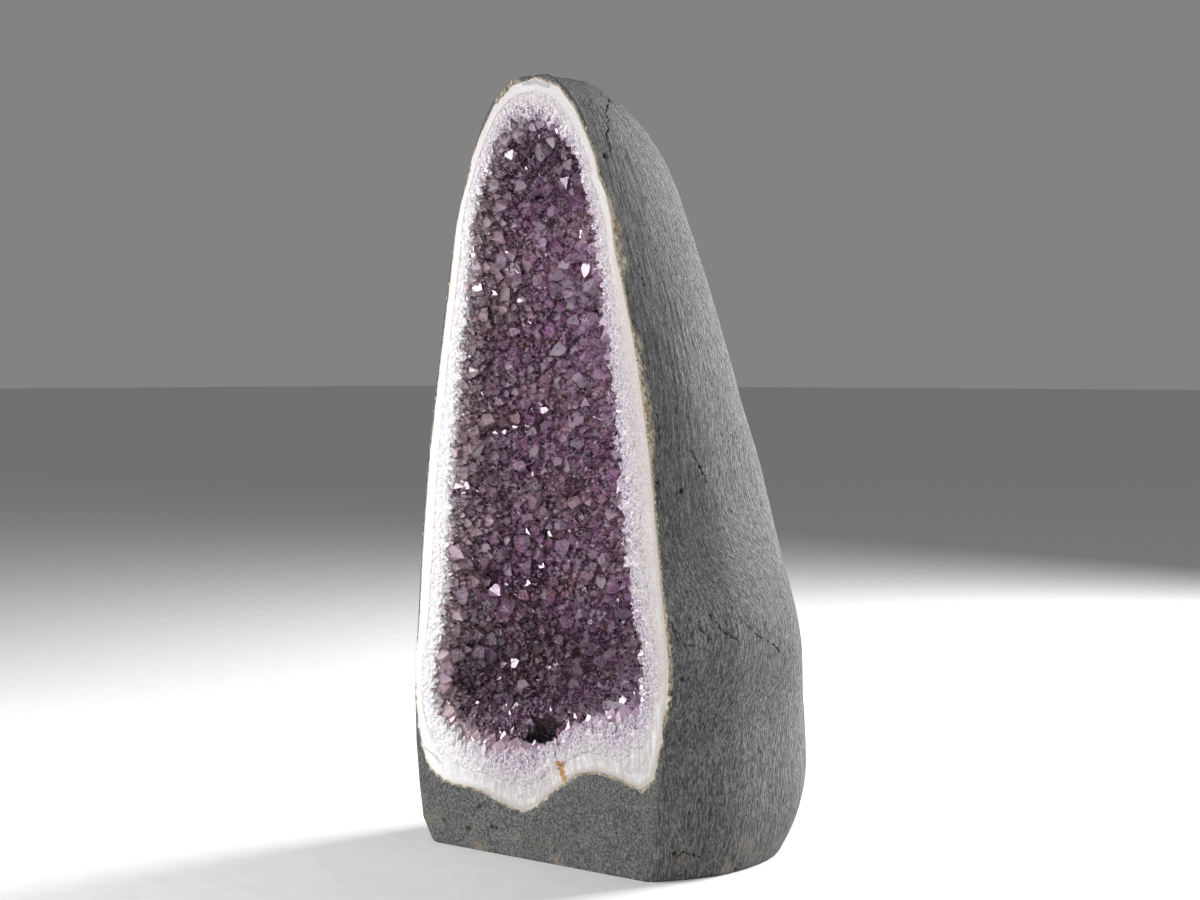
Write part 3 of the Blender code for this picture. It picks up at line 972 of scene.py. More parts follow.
        # a few facets at random are painted near white, as painted highlights
        colour = graph.mix(graph.spread(facet, 0.88, 0.90, (0.0, 0.80)), colour, self.frost)
        colour = graph.lay(colour, self.shade, graph.spread(veil, 0.30, 0.46, (0.55, 0.0)), darkening_share)
        wisp = graph.math("ABSOLUTE", graph.math("SUBTRACT", veil, 0.53))
        colour = graph.lay(colour, self.frost, graph.spread(wisp, 0.0, 0.045, FALLING), 0.80)
        # painted shade at the crystals' feet, where they crowd together
        foot = graph.spread(graph.attribute("tip"), 0.25, 0.75, (0.85, 0.0))
        return graph.lay(colour, self.shade, foot, darkening_share)


@dataclass(frozen=True)
class SawnQuartzFinish:
    """The sawn crust: sugary white that turns lilac towards the hollow, with painted highlights at the
    points, and a bed deeper in that is painted dark as shade between the crystals.
    """

    plane_y: float
    frost: Colour = (0.51, 0.47, 0.48)
    white: Colour = (0.86, 0.845, 0.85)
    lilac: Colour = (0.33, 0.245, 0.35)
    mauve: Colour = (0.20, 0.12, 0.21)
    rust: Colour = (0.33, 0.160, 0.038)
    # painted shade of the bed between the crystals
    bed_shade: Colour = (0.120, 0.058, 0.100)
    brown: Colour = (0.130, 0.065, 0.045)
    # painted shade of the pocket
    pocket_shade: Colour = (0.004, 0.002, 0.004)
    lit_side: Range = (-0.080, -0.025)  # across, the side that is washed out by light
    bed_starts: Range = (0.0040, 0.0120)  # depth behind the saw cut
    stain: tuple[Vector, ...] = ()

    def make(self, effects: Effects) -> Material:
        """Builds the material of the bed and of the crystals that the saw went through.

        Args:
            effects: the shared node groups.

        Returns:
            The material.
        """
        finish = Finish("sawn_quartz")
        graph = finish.graph
        place = graph.place()
        share = graph.attribute("share")
        sugar = finish.group(effects.sugar, Vector=place, Scale=1050.0)
        coarse = finish.group(effects.sugar, Vector=place, Scale=360.0)
        clouds = finish.group(effects.mottle, Vector=place, Scale=42.0)

        tint = graph.times(graph.attribute("tint"), 0.65)
        blotch = graph.math("ADD", graph.times(clouds["Cloud"], 0.45), tint)
        violet = graph.times(graph.spread(share, 0.10, 0.70), blotch)
        violet = graph.times(violet, graph.math("MULTIPLY_ADD", graph.low(), 0.55, 1.0))
        rim = graph.mix(violet, self.frost, self.lilac)
        rim = graph.lay(rim, self.lilac, sugar["Grain"], graph.spread(share, 0.0, 0.7, (0.10, 0.22)))
        facet = graph.times(graph.spread(share, 0.2, 0.8), graph.attribute("facet"))
        rim = graph.lay(rim, self.mauve, facet, 0.50)
        rim = graph.lay(rim, self.white, coarse["Joint"], graph.spread(share, 0.1, 0.6, (0.25, 0.85)))
        radial = graph.times(graph.spread(graph.radial(), 0.46, 0.72), graph.low())
        rim = graph.lay(rim, self.white, radial, 0.40)
        # painted highlight: the sawn crystals' points are whitened, as glints along the rim's inner edge
        rim = graph.mix(graph.spread(graph.attribute("tip"), 0.80, 0.97, (0.0, 0.50)), rim, self.white)
        left = graph.spread(graph.across(), *self.lit_side, (0.82, 0.0))
        rim = graph.lay(rim, self.white, left, graph.spread(share, 0.6, 1.0, (1.0, 0.70)))
        rim = graph.lay(rim, self.rust, graph.spots(self.stain, STAIN_RADIUS), 0.95)
        # the bed behind the rim is painted dark, in brown clouds, as painted shade between the crystals
        inside = graph.mix(clouds["Cloud"], self.bed_shade, self.brown)
        colour = graph.mix(graph.spread(graph.behind(self.plane_y), *self.bed_starts), rim, inside)
        # painted shade: the pocket at the hollow's bottom is painted near black
        colour = graph.mix(graph.attribute("pocket"), colour, self.pocket_shade)

        relief = graph.bump(sugar["Height"], 0.8, 0.0005)
        relief = graph.bump(coarse["Height"], 0.9, 0.0014, relief)
        rough = graph.math("SUBTRACT", 0.40, graph.times(sugar["Grain"], 0.28))
        finish.set(Base_Color=colour, Roughness=rough, Normal=relief, IOR=1.544)
        finish.set(Transmission_Weight=0.12, Specular_IOR_Level=0.3)
        return finish.material


@dataclass(frozen=True)
class RindFinish:
    """The crumbly tan skin that shows between agate and cement."""

    tan: Colour = (0.27, 0.22, 0.15)
    straw: Colour = (0.52, 0.46, 0.36)
    brown: Colour = (0.12, 0.08, 0.05)

    def make(self, effects: Effects) -> Material:
        """Builds the rind's material.

        Args:
            effects: the shared node groups.

        Returns:
            The material.
        """
        finish = Finish("tan_rind")
        graph = finish.graph
        place = graph.place()
        clouds = finish.group(effects.mottle, Vector=place, Scale=160.0)
        sugar = finish.group(effects.sugar, Vector=place, Scale=900.0)
        colour = graph.mix(clouds["Cloud"], self.tan, self.straw)
        colour = graph.lay(colour, self.brown, sugar["Joint"], 0.7)
        odd = graph.spread(graph.attribute("tint"), 0.75, 0.9, (0.0, 0.6))
        colour = graph.mix(odd, colour, self.brown)
        relief = graph.bump(sugar["Height"], 0.6, 0.0005)
        finish.set(Base_Color=colour, Roughness=0.75, Normal=relief)
        return finish.material


# Cement casing
@dataclass(frozen=True)
class RindPattern:
    """Where the tan rind clings to the seam."""

    low_top: float = 0.09
    low_amount: float = 0.10
    left_amount: float = 0.02
    right_from: float = 0.05  # height from which the right-hand seam carries more
    right_amount: float = 0.20
    stretches: tuple[Triple, ...] = ((0.333, 0.383, 1.0), (0.236, 0.318, 0.90), (0.082, 0.165, 0.45))
    fade: float = 0.012  # length over which a stretch begins and ends
    notch: Range = (0.447, -0.013)  # above this height and left of this the seam is all crumbs

    def amount(self, x: float, z: float) -> float:
        """How much rind there is at a place of the seam.

        Args:
            x: how far to the right the place lies.
            z: its height.

        Returns:
            The amount, 0 to 1.
        """
        amount = self.low_amount if z < self.low_top else self.left_amount
        if x > 0 and z > self.right_from:
            amount = self.right_amount
            for low, high, share in self.stretches:
                if low < z < high:
                    amount = max(amount, share * min(1.0, (z - low) / self.fade, (high - z) / self.fade))
        if z > self.notch[0] and x < self.notch[1]:
            amount = 1.0
        return amount


@dataclass
class CementCasing:
    """The cement casing: rounded, brushed while wet, with pits and hairline cracks."""

    node: Object
    face: SawnFace
    view: Viewpoint
    pattern: RindPattern = RindPattern()
    spine_ends: Range = (0.08, 0.06)  # of the hollow's middle line, in from the crust's foot and top
    spine_behind: float = 0.03
    foot_facing: float = -0.9  # faces that look further down than this are the foot's
    foot_edge: float = 0.002
    foot_clear: float = 0.0012  # below this height nothing is carved
    upright_share: float = 0.6  # an edge that rises by more than this share of its length is upright
    tallest: float = 0.0050  # of the flank's faces
    stroke_depth: float = 0.00030
    coarse_length: float = 0.014  # of the unevenness that the brush left
    wide_length: float = 0.045
    front_relief: float = 0.35  # share of the relief that the sawn side has
    stroke_width: float = 0.0034  # across the brush marks that are modelled
    stroke_length: float = 0.030
    front_short: float = 3.6  # the front's brush marks are this many times shorter
    level_step: float = 0.012  # height between the sections that the brush follows
    swirl: Pixel = (748, 560)  # middle of the slanting brush marks, in the photograph
    swirl_reach: float = 0.060
    swirl_slant: float = 0.95
    strays: tuple[Range, ...] = ((0.0014, 0.05), (0.0006, 0.012))  # of a stroke: how far, and how long
    front_finest: float = 0.0064
    arris: float = 0.0030  # the solid's cut corner lies within this distance behind the saw cut
    crack_reach: float = 0.0012
    crack_depth: float = 0.0009
    crack_radius: float = 0.00030
    crack_closed: float = -0.24  # where the noise along a crack falls below this it is closed
    crack_wander: float = 2.2  # how far a crack strays between the points given, in pixels
    crack_step: float = 0.5  # between the points along a crack, in pixels
    crack_faces: Triple = (0.0016, 0.0009, 0.0005)  # the faces round it are made finer in these steps
    rind_reach: float = 0.0062
    rind_relief: float = 0.0006
    cracks: tuple = (
        ((610, 100), (606, 112), (608, 126), (607, 138), (611, 151)),
        ((632, 333), (640, 352), (648, 380)), ((636, 270), (641, 277), (645, 286)),
        ((657, 414), (659, 424), (660, 439)), ((690, 450), (697, 462), (703, 474), (706, 482)),
        ((662, 616), (672, 624), (678, 640), (686, 645), (697, 646)),
        ((697, 620), (701, 630), (711, 640)), ((708, 616), (716, 622), (724, 632), (738, 640)),
        ((748, 626), (758, 636), (772, 644), (780, 652)), ((670, 691), (676, 699)),
        ((676, 858), (684, 852), (700, 857)),
    )
    holes: tuple = (
        (605, 156, 1.2), (682, 491, 1.3), (683, 679, 1.1), (689, 679, 0.7), (675, 854, 1.2),
        (711, 616, 1.0), (658, 483, 0.8), (735, 870, 1.2), (479, 807, 1.2), (468, 829, 1.4),
        (492, 827, 1.0), (496, 828, 0.9), (444, 820, 0.9),
    )  # column and row in the photograph, and radius in millimetres

    def __post_init__(self) -> None:
        """Takes the hollow's middle line from its crust."""
        low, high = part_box("amethyst_crust")
        self.spine = (low.z + self.spine_ends[0], high.z - self.spine_ends[1])

    def outward(self, place: Vector) -> Vector:
        """Direction from the middle of the hollow to a place."""
        height = min(max(place.z, self.spine[0]), self.spine[1])
        return place - Vector((0.0, self.face.y + self.spine_behind, height))

    def is_outside(self, face: BMFace) -> bool:
        """Whether a face belongs to the casing's outer side, and not to its bowl or the saw cut."""
        outward = self.outward(face.calc_center_median())
        return not self.face.is_rim(face) and face.normal.dot(outward) > 0

    def is_skin(self, face: BMFace) -> bool:
        """Whether a face shows: the outer side and the saw cut, without the foot."""
        return face.normal.z > self.foot_facing and (self.is_outside(face) or self.face.is_rim(face))

    def flank_edges(self, bm: BMesh) -> set[BMEdge]:
        """The edges of the casing's outer side, without the foot."""
        flank = (face for face in bm.faces if self.is_outside(face) and face.normal.z > self.foot_facing)
        return {edge for face in flank for edge in face.edges}

    def build(self) -> BMesh:
        """Rounds the solid and divides its flanks finely across the brush marks.

        Returns:
            The casing's smooth mesh.
        """
        bm = merged_copy(self.node)
        bm.normal_update()
        join_to_quads(bm, [face for face in bm.faces if not self.face.is_rim(face)])
        front = self.face.y + self.arris

        def held(edge: BMEdge) -> bool:
            """Whether an edge of the sawn side or of the foot stays sharp."""
            first, second = (vert.co for vert in edge.verts)
            return max(first.y, second.y) < front or max(first.z, second.z) < self.foot_edge

        def rise(edge: BMEdge) -> float:
            """How far an edge rises."""
            return abs(edge.verts[0].co.z - edge.verts[1].co.z)

        bm = rounded(bm, 2, held)
        bm.normal_update()
        edges = self.flank_edges(bm)
        upright = [edge for edge in edges if rise(edge) > self.upright_share * edge.calc_length()]
        level = list(edges.difference(upright))
        bmesh.ops.subdivide_edges(bm, edges=level, cuts=2, use_grid_fill=True)
        bm.normal_update()
        upright = [edge for edge in self.flank_edges(bm) if rise(edge) > self.tallest]
        bmesh.ops.subdivide_edges(bm, edges=upright, cuts=1, use_grid_fill=True)
        split_long_edges(bm, self.face.is_rim, self.front_finest, 6)
        return bm

    def marks(self, tree: BVHTree) -> KDTree:
        """Points along the cracks and at the holes, found on the casing by the photograph's rays.

        Args:
            tree: the rounded casing.

        Returns:
            A search tree; each point's radius is in self.mark_radii by its number.
        """
        self.mark_radii: list[float] = []
        points: list[Vector] = []
        for start, end in (run for crack in self.cracks for run in zip(crack, crack[1:])):
            steps = max(2, int(math.dist(start, end) / self.crack_step))
            for i in range(steps):
                column, row = (a + (b - a) * (i / steps) for a, b in zip(start, end))
                column += self.crack_wander * noise.noise(Vector((column, row, 0.0)) / 2.6)
                open_here = noise.noise(Vector((column, row, 3.0)) / 3.4)
                hit = self.view.hit(tree, (column, row))
                if hit and open_here > self.crack_closed:
                    points.append(hit)
                    self.mark_radii.append(self.crack_radius * (0.7 + 2.2 * max(0.0, open_here)))
        for column, row, radius in self.holes:
            hit = self.view.hit(tree, (column, row))
            if hit:
                points.append(hit)
                self.mark_radii.append(radius / 1000)
        marks = KDTree(len(points))
        for i, point in enumerate(points):
            marks.insert(point, i)
        marks.balance()
        return marks

    def sections(self, bm: BMesh) -> None:
        """Measures the casing's half width and its depth at even heights, for the brush to follow.

        Args:
            bm: the smooth casing.
        """
        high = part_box("cement_casing")[1].z
        count = int(high / self.level_step) + 2
        self.half_widths = np.full(count, 0.01)
        self.depths = np.full(count, 0.01)
        for vert in bm.verts:
            level = min(count - 1, round(vert.co.z / self.level_step))
            self.half_widths[level] = max(self.half_widths[level], abs(vert.co.x))
            self.depths[level] = max(self.depths[level], vert.co.y - self.face.y)
        self.heights = np.arange(count) * self.level_step

    def brushed(self, place: Vector) -> Vector:
        """A place as the brush sees it.

        Args:
            place: a place on the casing.

        Returns:
            Two measures across its strokes, and one along them.
        """
        half_width = float(np.interp(place.z, self.heights, self.half_widths))
        depth = float(np.interp(place.z, self.heights, self.depths))
        right = place.x / half_width * self.half_widths.max()
        back = (place.y - self.face.y) / depth * self.depths.max()
        near = math.exp(-(((place - self.swirl_place).length / self.swirl_reach) ** 2))
        shift = self.swirl_slant * near * (place.z - self.swirl_place.z)
        shift += sum(far * noise.noise(place / length) for far, length in self.strays)
        along = place.z * (self.front_short if place.y < self.face.y + ON_PLANE else 1.0)
        return Vector((right - 0.5 * shift, back + shift, along))

    def rind(self, place: Vector) -> float:
        """How much of the tan rind clings to a place.

        Args:
            place: a place on the casing.

        Returns:
            The amount, 0 to 1.
        """
        x, z = self.face.seam_points[self.face.seam_tree.find((place.x, 0.0, place.z))[1]]
        gap = math.dist(place, (x, self.face.y, z))
        reach = 0.10 + self.pattern.amount(x, z)
        reach *= self.rind_reach * (1.0 + 0.7 * noise.noise(place / 0.006))
        return max(0.0, 1.0 - (gap / max(reach, 1e-4)) ** 2)

    def carve(self, bm: BMesh) -> None:
        """Works the brush marks, cracks and holes into the mesh.

        Args:
            bm: the smooth casing.
        """
        tree = BVHTree.FromBMesh(bm)
        marks = self.marks(tree)
        self.swirl_place = self.view.hit(tree, self.swirl)
        self.sections(bm)
        for longest in self.crack_faces:
            reach = self.crack_reach + longest

            def close(face: BMFace) -> bool:
                """Whether a face shows and lies at a mark."""
                return marks.find(face.calc_center_median())[2] < reach and self.is_skin(face)

            split_long_edges(bm, close, longest, 1)
        bm.normal_update()
        dent = bm.verts.layers.float.new("dent")
        rind = bm.verts.layers.float.new("rind")
        brushed = bm.verts.layers.float_vector.new("brushed")
        skin = {vert for face in bm.faces if self.is_skin(face) for vert in face.verts}
        for vert in skin:
            place = vert.co.copy()
            drawn = self.brushed(place)
            vert[brushed] = drawn
            vert[rind] = self.rind(place)
            if place.z < self.foot_clear:
                continue
            across = Vector((drawn.x, drawn.y, drawn.z * self.stroke_width / self.stroke_length))
            stroke = noise.noise(across / self.stroke_width)
            stroke += 0.6 * noise.noise(place / self.coarse_length)
            stroke += 1.6 * noise.noise(place / self.wide_length)
            if self.face.on_plane(vert):
                stroke *= self.front_relief
            else:
                stroke *= min(1.0, 0.3 + (place.y - self.face.y) / 0.02)
            depth = self.stroke_depth * stroke
            depth += self.rind_relief * vert[rind] * max(0.0, noise.noise(place / 0.0022))
            _, number, distance = marks.find(place)
            radius = self.mark_radii[number]
            if distance < 2.2 * radius:
                hollow = max(0.0, 1.0 - (distance / (1.6 * radius)) ** 2)
                depth -= hollow * (self.crack_depth + 0.7 * radius)
                vert[dent] = hollow
            vert.co = place + vert.normal * depth

    def dress(self, material: Material) -> Object:
        """Builds the casing and dresses it.

        Args:
            material: its finish.

        Returns:
            The piece.
        """
        bm = self.build()
        self.carve(bm)
        return place_piece(finished_mesh("brushed_cement_casing", bm), material, Part.CASING, 50.0)


# Agate wall
@dataclass
class AgateWall:
    """The agate wall: a bowl whose sawn edge is banded and ragged at the seam, with a hairline."""

    node: Object
    face: SawnFace
    view: Viewpoint
    relief: float = 0.00014
    hairline_depth: float = 0.0004
    hairline_reach: float = 0.0008
    finest: float = 0.0016
    ragged: tuple[float, float] = (0.0004, 0.0020)  # how far the seam strays outwards, high and low
    low_top: float = 0.120
    hairline: tuple = ((424, 748), (430, 752), (436, 757), (441, 764))

    def dress(self, material: Material) -> Object:
        """Builds the wall and dresses it.

        Args:
            material: its finish.

        Returns:
            The piece.
        """
        bm = merged_copy(self.node)
        join_to_quads(bm, bm.faces)
        bm = rounded(bm, 2, lambda edge: all(self.face.on_plane(vert) for vert in edge.verts))
        split_long_edges(bm, self.face.is_rim, self.finest, 4)
        hair = self.face.seen_at(self.view, self.hairline)
        from_seam, dent = [], []
        for vert in bm.verts:
            place = vert.co.copy()
            on_plane = self.face.on_plane(vert)
            from_seam.append(self.face.distance(self.face.seam_tree, place))
            crack = min(self.off_line(place, a, b) for a, b in zip(hair, hair[1:]))
            line = max(0.0, 1.0 - crack / self.hairline_reach) if on_plane else 0.0
            dent.append(line)
            if on_plane:
                wave = noise.noise(place / 0.011) + 0.5 * noise.noise(place / 0.003)
                vert.co.y += self.relief * (1.0 + wave) + self.hairline_depth * line
                if from_seam[-1] < self.finest / 4:
                    vert.co = self.strayed(place)
        mesh = finished_mesh("agate_wall_sawn", bm)
        set_point_values(mesh, "from_seam", from_seam)
        set_point_values(mesh, "dent", dent)
        return place_piece(mesh, material, Part.WALL, 40.0)

    def strayed(self, place: Vector) -> Vector:
        """Moves a corner of the seam outwards by a ragged amount, to lie just over the cement.

        Args:
            place: where the corner lies.

        Returns:
            Where it comes to lie.
        """
        x, z = self.face.root(place)
        out = Vector((place.x - x, 0.0, place.z - z)).normalized()
        bumps = 0.35 + noise.noise(place / 0.0028) + 0.6 * noise.noise(place / 0.0011)
        reach = self.ragged[1] if place.z < self.low_top else self.ragged[0]
        return place + out * reach * max(0.0, bumps) + Vector((0.0, -self.relief, 0.0))

    @staticmethod
    def off_line(place: Vector, start: Vector, end: Vector) -> float:
        """Distance from a place to a straight stretch.

        Args:
            place: the place.
            start: one end of the stretch.
            end: its other end.

        Returns:
            The distance.
        """
        run = end - start
        share = min(1.0, max(0.0, (place - start).dot(run) / run.length_squared))
        return (place - start - run * share).length


# Crystals
@dataclass
class Pocket:
    """The dark hole at the bottom of the hollow, where no crystals stand."""

    view: Viewpoint
    middle: Pixel = (544.0, 732.0)
    slant: float = math.radians(58)  # of its long axis, rising to the right
    half_length: float = 23.0
    half_width: float = 13.0
    ragged: float = 0.35
    ragged_px: float = 7.0
    depth: float = 0.010
    reach: float = 0.018  # of the hole itself, from its middle on the crust
    centre: Vector = field(default_factory=Vector)

    def settle(self, tree: BVHTree) -> None:
        """Finds the hole's middle on the crust."""
        self.centre = self.view.hit(tree, self.middle)

    def seen(self, place: Vector) -> float:
        """How far a place lies from the hole's middle as the photograph shows it.

        Args:
            place: the place.

        Returns:
            The distance, 1 at the hole's edge.
        """
        column, row = self.view.pixel(place)
        right, up = column - self.middle[0], self.middle[1] - row
        along = right * math.cos(self.slant) + up * math.sin(self.slant)
        across = right * math.sin(self.slant) - up * math.cos(self.slant)
        uneven = 1.0 + self.ragged * noise.noise(Vector((column, row, 0.0)) / self.ragged_px)
        return math.hypot(along / self.half_length, across / self.half_width) * uneven

    def nearness(self, place: Vector) -> float:
        """How far a place lies from the hole's middle on the crust, 1 at its edge."""
        return max(self.seen(place), (place - self.centre).length / self.reach)


@dataclass(frozen=True)
class RustBands:
    """Rust-brown bands that run across the hollow, strongest on its left."""

    bands: tuple[Range, ...] = ((0.305, 0.0045), (0.256, 0.0060), (0.181, 0.0040), (0.150, 0.0060))
    waver: float = 0.008
    slope: float = 0.06
    faintest: float = 0.25  # share of a band that reaches the right-hand wall
    left: float = -0.045
    right: float = 0.055

    def at(self, place: Vector) -> float:
        """How rusty a place is.

        Args:
            place: the place.

        Returns:
            The amount, 0 to about 1.
        """
        height = place.z + self.waver * noise.noise(place / 0.03) + self.slope * place.x
        band = max(math.exp(-(((height - middle) / width) ** 2)) for middle, width in self.bands)
        across = min(1.0, max(self.faintest, (self.right - place.x) / (self.right - self.left)))
        return band * across * (0.6 + 0.6 * noise.noise(place / 0.008))


@dataclass(frozen=True)
class CrystalForm:
    """One crystal, one unit across from its middle to a side, its shoulder at z = 0 and its point up."""

    mesh: Mesh
    points: np.ndarray
    tips: np.ndarray
    faces: tuple[Face, ...]


class CrystalForms:
    """A set of differently cut crystals: a six-sided column closed by six sloping faces."""

    SLOPE = math.radians(51.8)  # from the crystal's axis to the square of a sloping face
    POINT = 1.27  # height at which even sloping faces meet
    ROOT = 2.6
    TAPER = 0.86
    BURIED = 0.6  # how deep a small point reaches into the crust
    CORNER = 1.0 / math.cos(math.pi / 6)

    def __init__(self, count: int, rng: random.Random, root: float = ROOT) -> None:
        """Cuts the set.

        Args:
            count: how many whole crystals, and how many small ones.
            rng: the draws.
            root: how far the column reaches below its shoulder.
        """
        self.root = root
        self.whole = [self.make_whole(rng) for _ in range(count)]
        self.small = [self.make_small(rng) for _ in range(count)]

    def make_whole(self, rng: random.Random) -> CrystalForm:
        """Cuts one crystal: three of its sloping faces are large and three small, as quartz has them.

        Args:
            rng: the draws.

        Returns:
            The crystal.
        """
        bm = bmesh.new()
        above = 2.0 * self.POINT
        foot, depth = self.TAPER * self.CORNER, self.root + above
        bmesh.ops.create_cone(
            bm, cap_ends=True, segments=6, radius1=foot, radius2=self.CORNER, depth=depth
        )
        bmesh.ops.translate(bm, verts=bm.verts, vec=(0.0, 0.0, (above - self.root) / 2))
        bmesh.ops.scale(bm, verts=bm.verts, vec=(rng.uniform(0.85, 1.15), rng.uniform(0.85, 1.15), 1.0))
        for side in range(6):
            turn = math.radians(60 * side + rng.uniform(-5, 5))
            share = rng.uniform(0.70, 0.96) if side % 2 else rng.uniform(0.9, 1.35)
            lean = self.SLOPE + math.radians(rng.uniform(-4, 4))
            out = math.sin(lean)
            normal = Vector((out * math.cos(turn), out * math.sin(turn), math.cos(lean)))
            sawn(bm, Vector((0.0, 0.0, self.POINT * share)), normal)
        return self.finished(bm)

    def make_small(self, rng: random.Random) -> CrystalForm:
        """Makes a small point, whose column is buried in the crust.

        Args:
            rng: the draws.

        Returns:
            The crystal.
        """
        bm = bmesh.new()
        rise = self.POINT * rng.uniform(0.9, 1.2)
        depth = rise + self.BURIED
        wide = self.CORNER * depth / rise
        bmesh.ops.create_cone(bm, cap_ends=True, segments=6, radius1=wide, radius2=0.0, depth=depth)
        bmesh.ops.translate(bm, verts=bm.verts, vec=(0.0, 0.0, (rise - self.BURIED) / 2))
        bmesh.ops.scale(bm, verts=bm.verts, vec=(rng.uniform(0.8, 1.2), rng.uniform(0.8, 1.2), 1.0))
        top = max(bm.verts, key=lambda vert: vert.co.z)
        top.co += Vector((rng.uniform(-0.2, 0.2), rng.uniform(-0.2, 0.2), 0.0))
        return self.finished(bm)

    def finished(self, bm: BMesh) -> CrystalForm:
        """Stores a cut crystal and the height of each of its corners.

        Args:
            bm: the crystal, which is freed.

        Returns:
            The stored crystal.
        """
        tip = bm.verts.layers.float.new("tip")
        highest = max(vert.co.z for vert in bm.verts)
        for vert in bm.verts:
            vert[tip] = (vert.co.z + self.ROOT) / (highest + self.ROOT)
        bm.verts.index_update()
        points = np.array([vert.co for vert in bm.verts])
        tips = np.array([vert[tip] for vert in bm.verts])
        faces = tuple(tuple(vert.index for vert in face.verts) for face in bm.faces)
        return CrystalForm(finished_mesh("crystal_form", bm), points, tips, faces)


@dataclass
class CrystalHeap:
    """Copies of crystal forms, gathered and joined into one mesh."""

    plane_y: float
    whole_only: bool = False  # crystals that would pass the saw cut are left out
    first_cut: float = 0.00004  # how far behind the saw cut the foremost sawn crystal ends
    cut_range: float = 0.00040
    points: list = field(default_factory=list)
    faces: list = field(default_factory=list)
    tips: list = field(default_factory=list)
    tints: list = field(default_factory=list)
    rusts: list = field(default_factory=list)
    bands: RustBands = RustBands()
    corners: int = 0
    crystals: int = 0

    def take(self, points: np.ndarray, tips: np.ndarray, faces: Iterable[Face], tint: float) -> None:
        """Adds one finished crystal.

        Args:
            points: its corners.
            tips: how far up the crystal each corner lies, 0 to 1.
            faces: its faces, by the numbers of their corners.
            tint: its random tint, 0 to 1.
        """
        start = self.corners
        self.points.append(points)
        self.tips.append(tips)
        self.tints.append(np.full(len(points), tint))
        self.rusts.append(np.full(len(points), self.bands.at(Vector(points[0]))))
        self.faces += [tuple(start + i for i in face) for face in faces]
        self.corners += len(points)
        self.crystals += 1

    def stand(self, form: CrystalForm, place: Matrix, tint: float, slant: Range = (0.0, 0.0)) -> None:
        """Adds a copy of a form at a place, sawn off where it passes the saw cut.

        Args:
            form: the crystal.
            place: turns, scales and moves it from its own frame.
            tint: its random tint, 0 to 1.
            slant: how far its cut leans back to the right and upwards, as slopes.
        """
        turn = np.array(place.to_3x3())
        points = form.points @ turn.T + np.array(place.translation)
        if self.whole_only and points[:, 1].min() < self.plane_y + self.cut_range:
            return
        behind = self.first_cut + self.cut_range * ((self.crystals * GOLDEN_SHARE + tint * 0.01) % 1.0)
        if points[:, 1].min() >= self.plane_y + behind:
            self.take(points, form.tips, form.faces, tint)
            return
        if points[:, 1].max() <= self.plane_y + 2.0 * self.cut_range:
            return
        middle = points.mean(0)
        leaning = (points - middle)[:, [0, 2]] @ np.array(slant)
        pivot = Vector((middle[0], self.plane_y + behind - 0.8 * leaning.min(), middle[2]))
        bm = bmesh.new()
        bm.from_mesh(form.mesh)
        bm.transform(place)
        sawn(bm, pivot, Vector((slant[0], -1.0, slant[1])).normalized())
        bm.verts.index_update()
        tip = bm.verts.layers.float["tip"]
        if len(bm.faces) < 4:
            bm.free()
            return
        self.take(
            np.array([vert.co for vert in bm.verts]),
            np.array([vert[tip] for vert in bm.verts]),
            [tuple(vert.index for vert in face.verts) for face in bm.faces],
            tint,
        )
        bm.free()

    def mesh(self, name: str) -> Mesh:
        """Joins the crystals into a mesh that carries their tints and heights.

        Args:
            name: the mesh's name.

        Returns:
            The mesh.
        """
        mesh = bpy.data.meshes.new(name)
        mesh.from_pydata(np.vstack(self.points), [], self.faces)
        set_point_values(mesh, "tip", np.concatenate(self.tips))
        set_point_values(mesh, "tint", np.concatenate(self.tints))
        set_point_values(mesh, "rusty", np.concatenate(self.rusts))
        facets = mesh.attributes.new("facet", "FLOAT", "FACE")
        facets.data.foreach_set("value", np.random.default_rng(SEED).random(len(mesh.polygons), np.float32))
        return mesh


def standing(place: Vector, axis: Vector, half: Sequence[float], rng: random.Random) -> Matrix:
    """Stands a crystal form at a place.

    Args:
        place: where its shoulder lies.
        axis: where it points.
        half: its half widths and its length, in the form's units.
        rng: the draw of its turn.

    Returns:
        The matrix that takes it there.
    """
    turn = axis.to_track_quat("Z", "X") @ Quaternion((0.0, 0.0, 1.0), rng.uniform(0, 2 * math.pi))
    return Matrix.Translation(place) @ turn.to_matrix().to_4x4() @ Matrix.Diagonal((*half, 1.0))


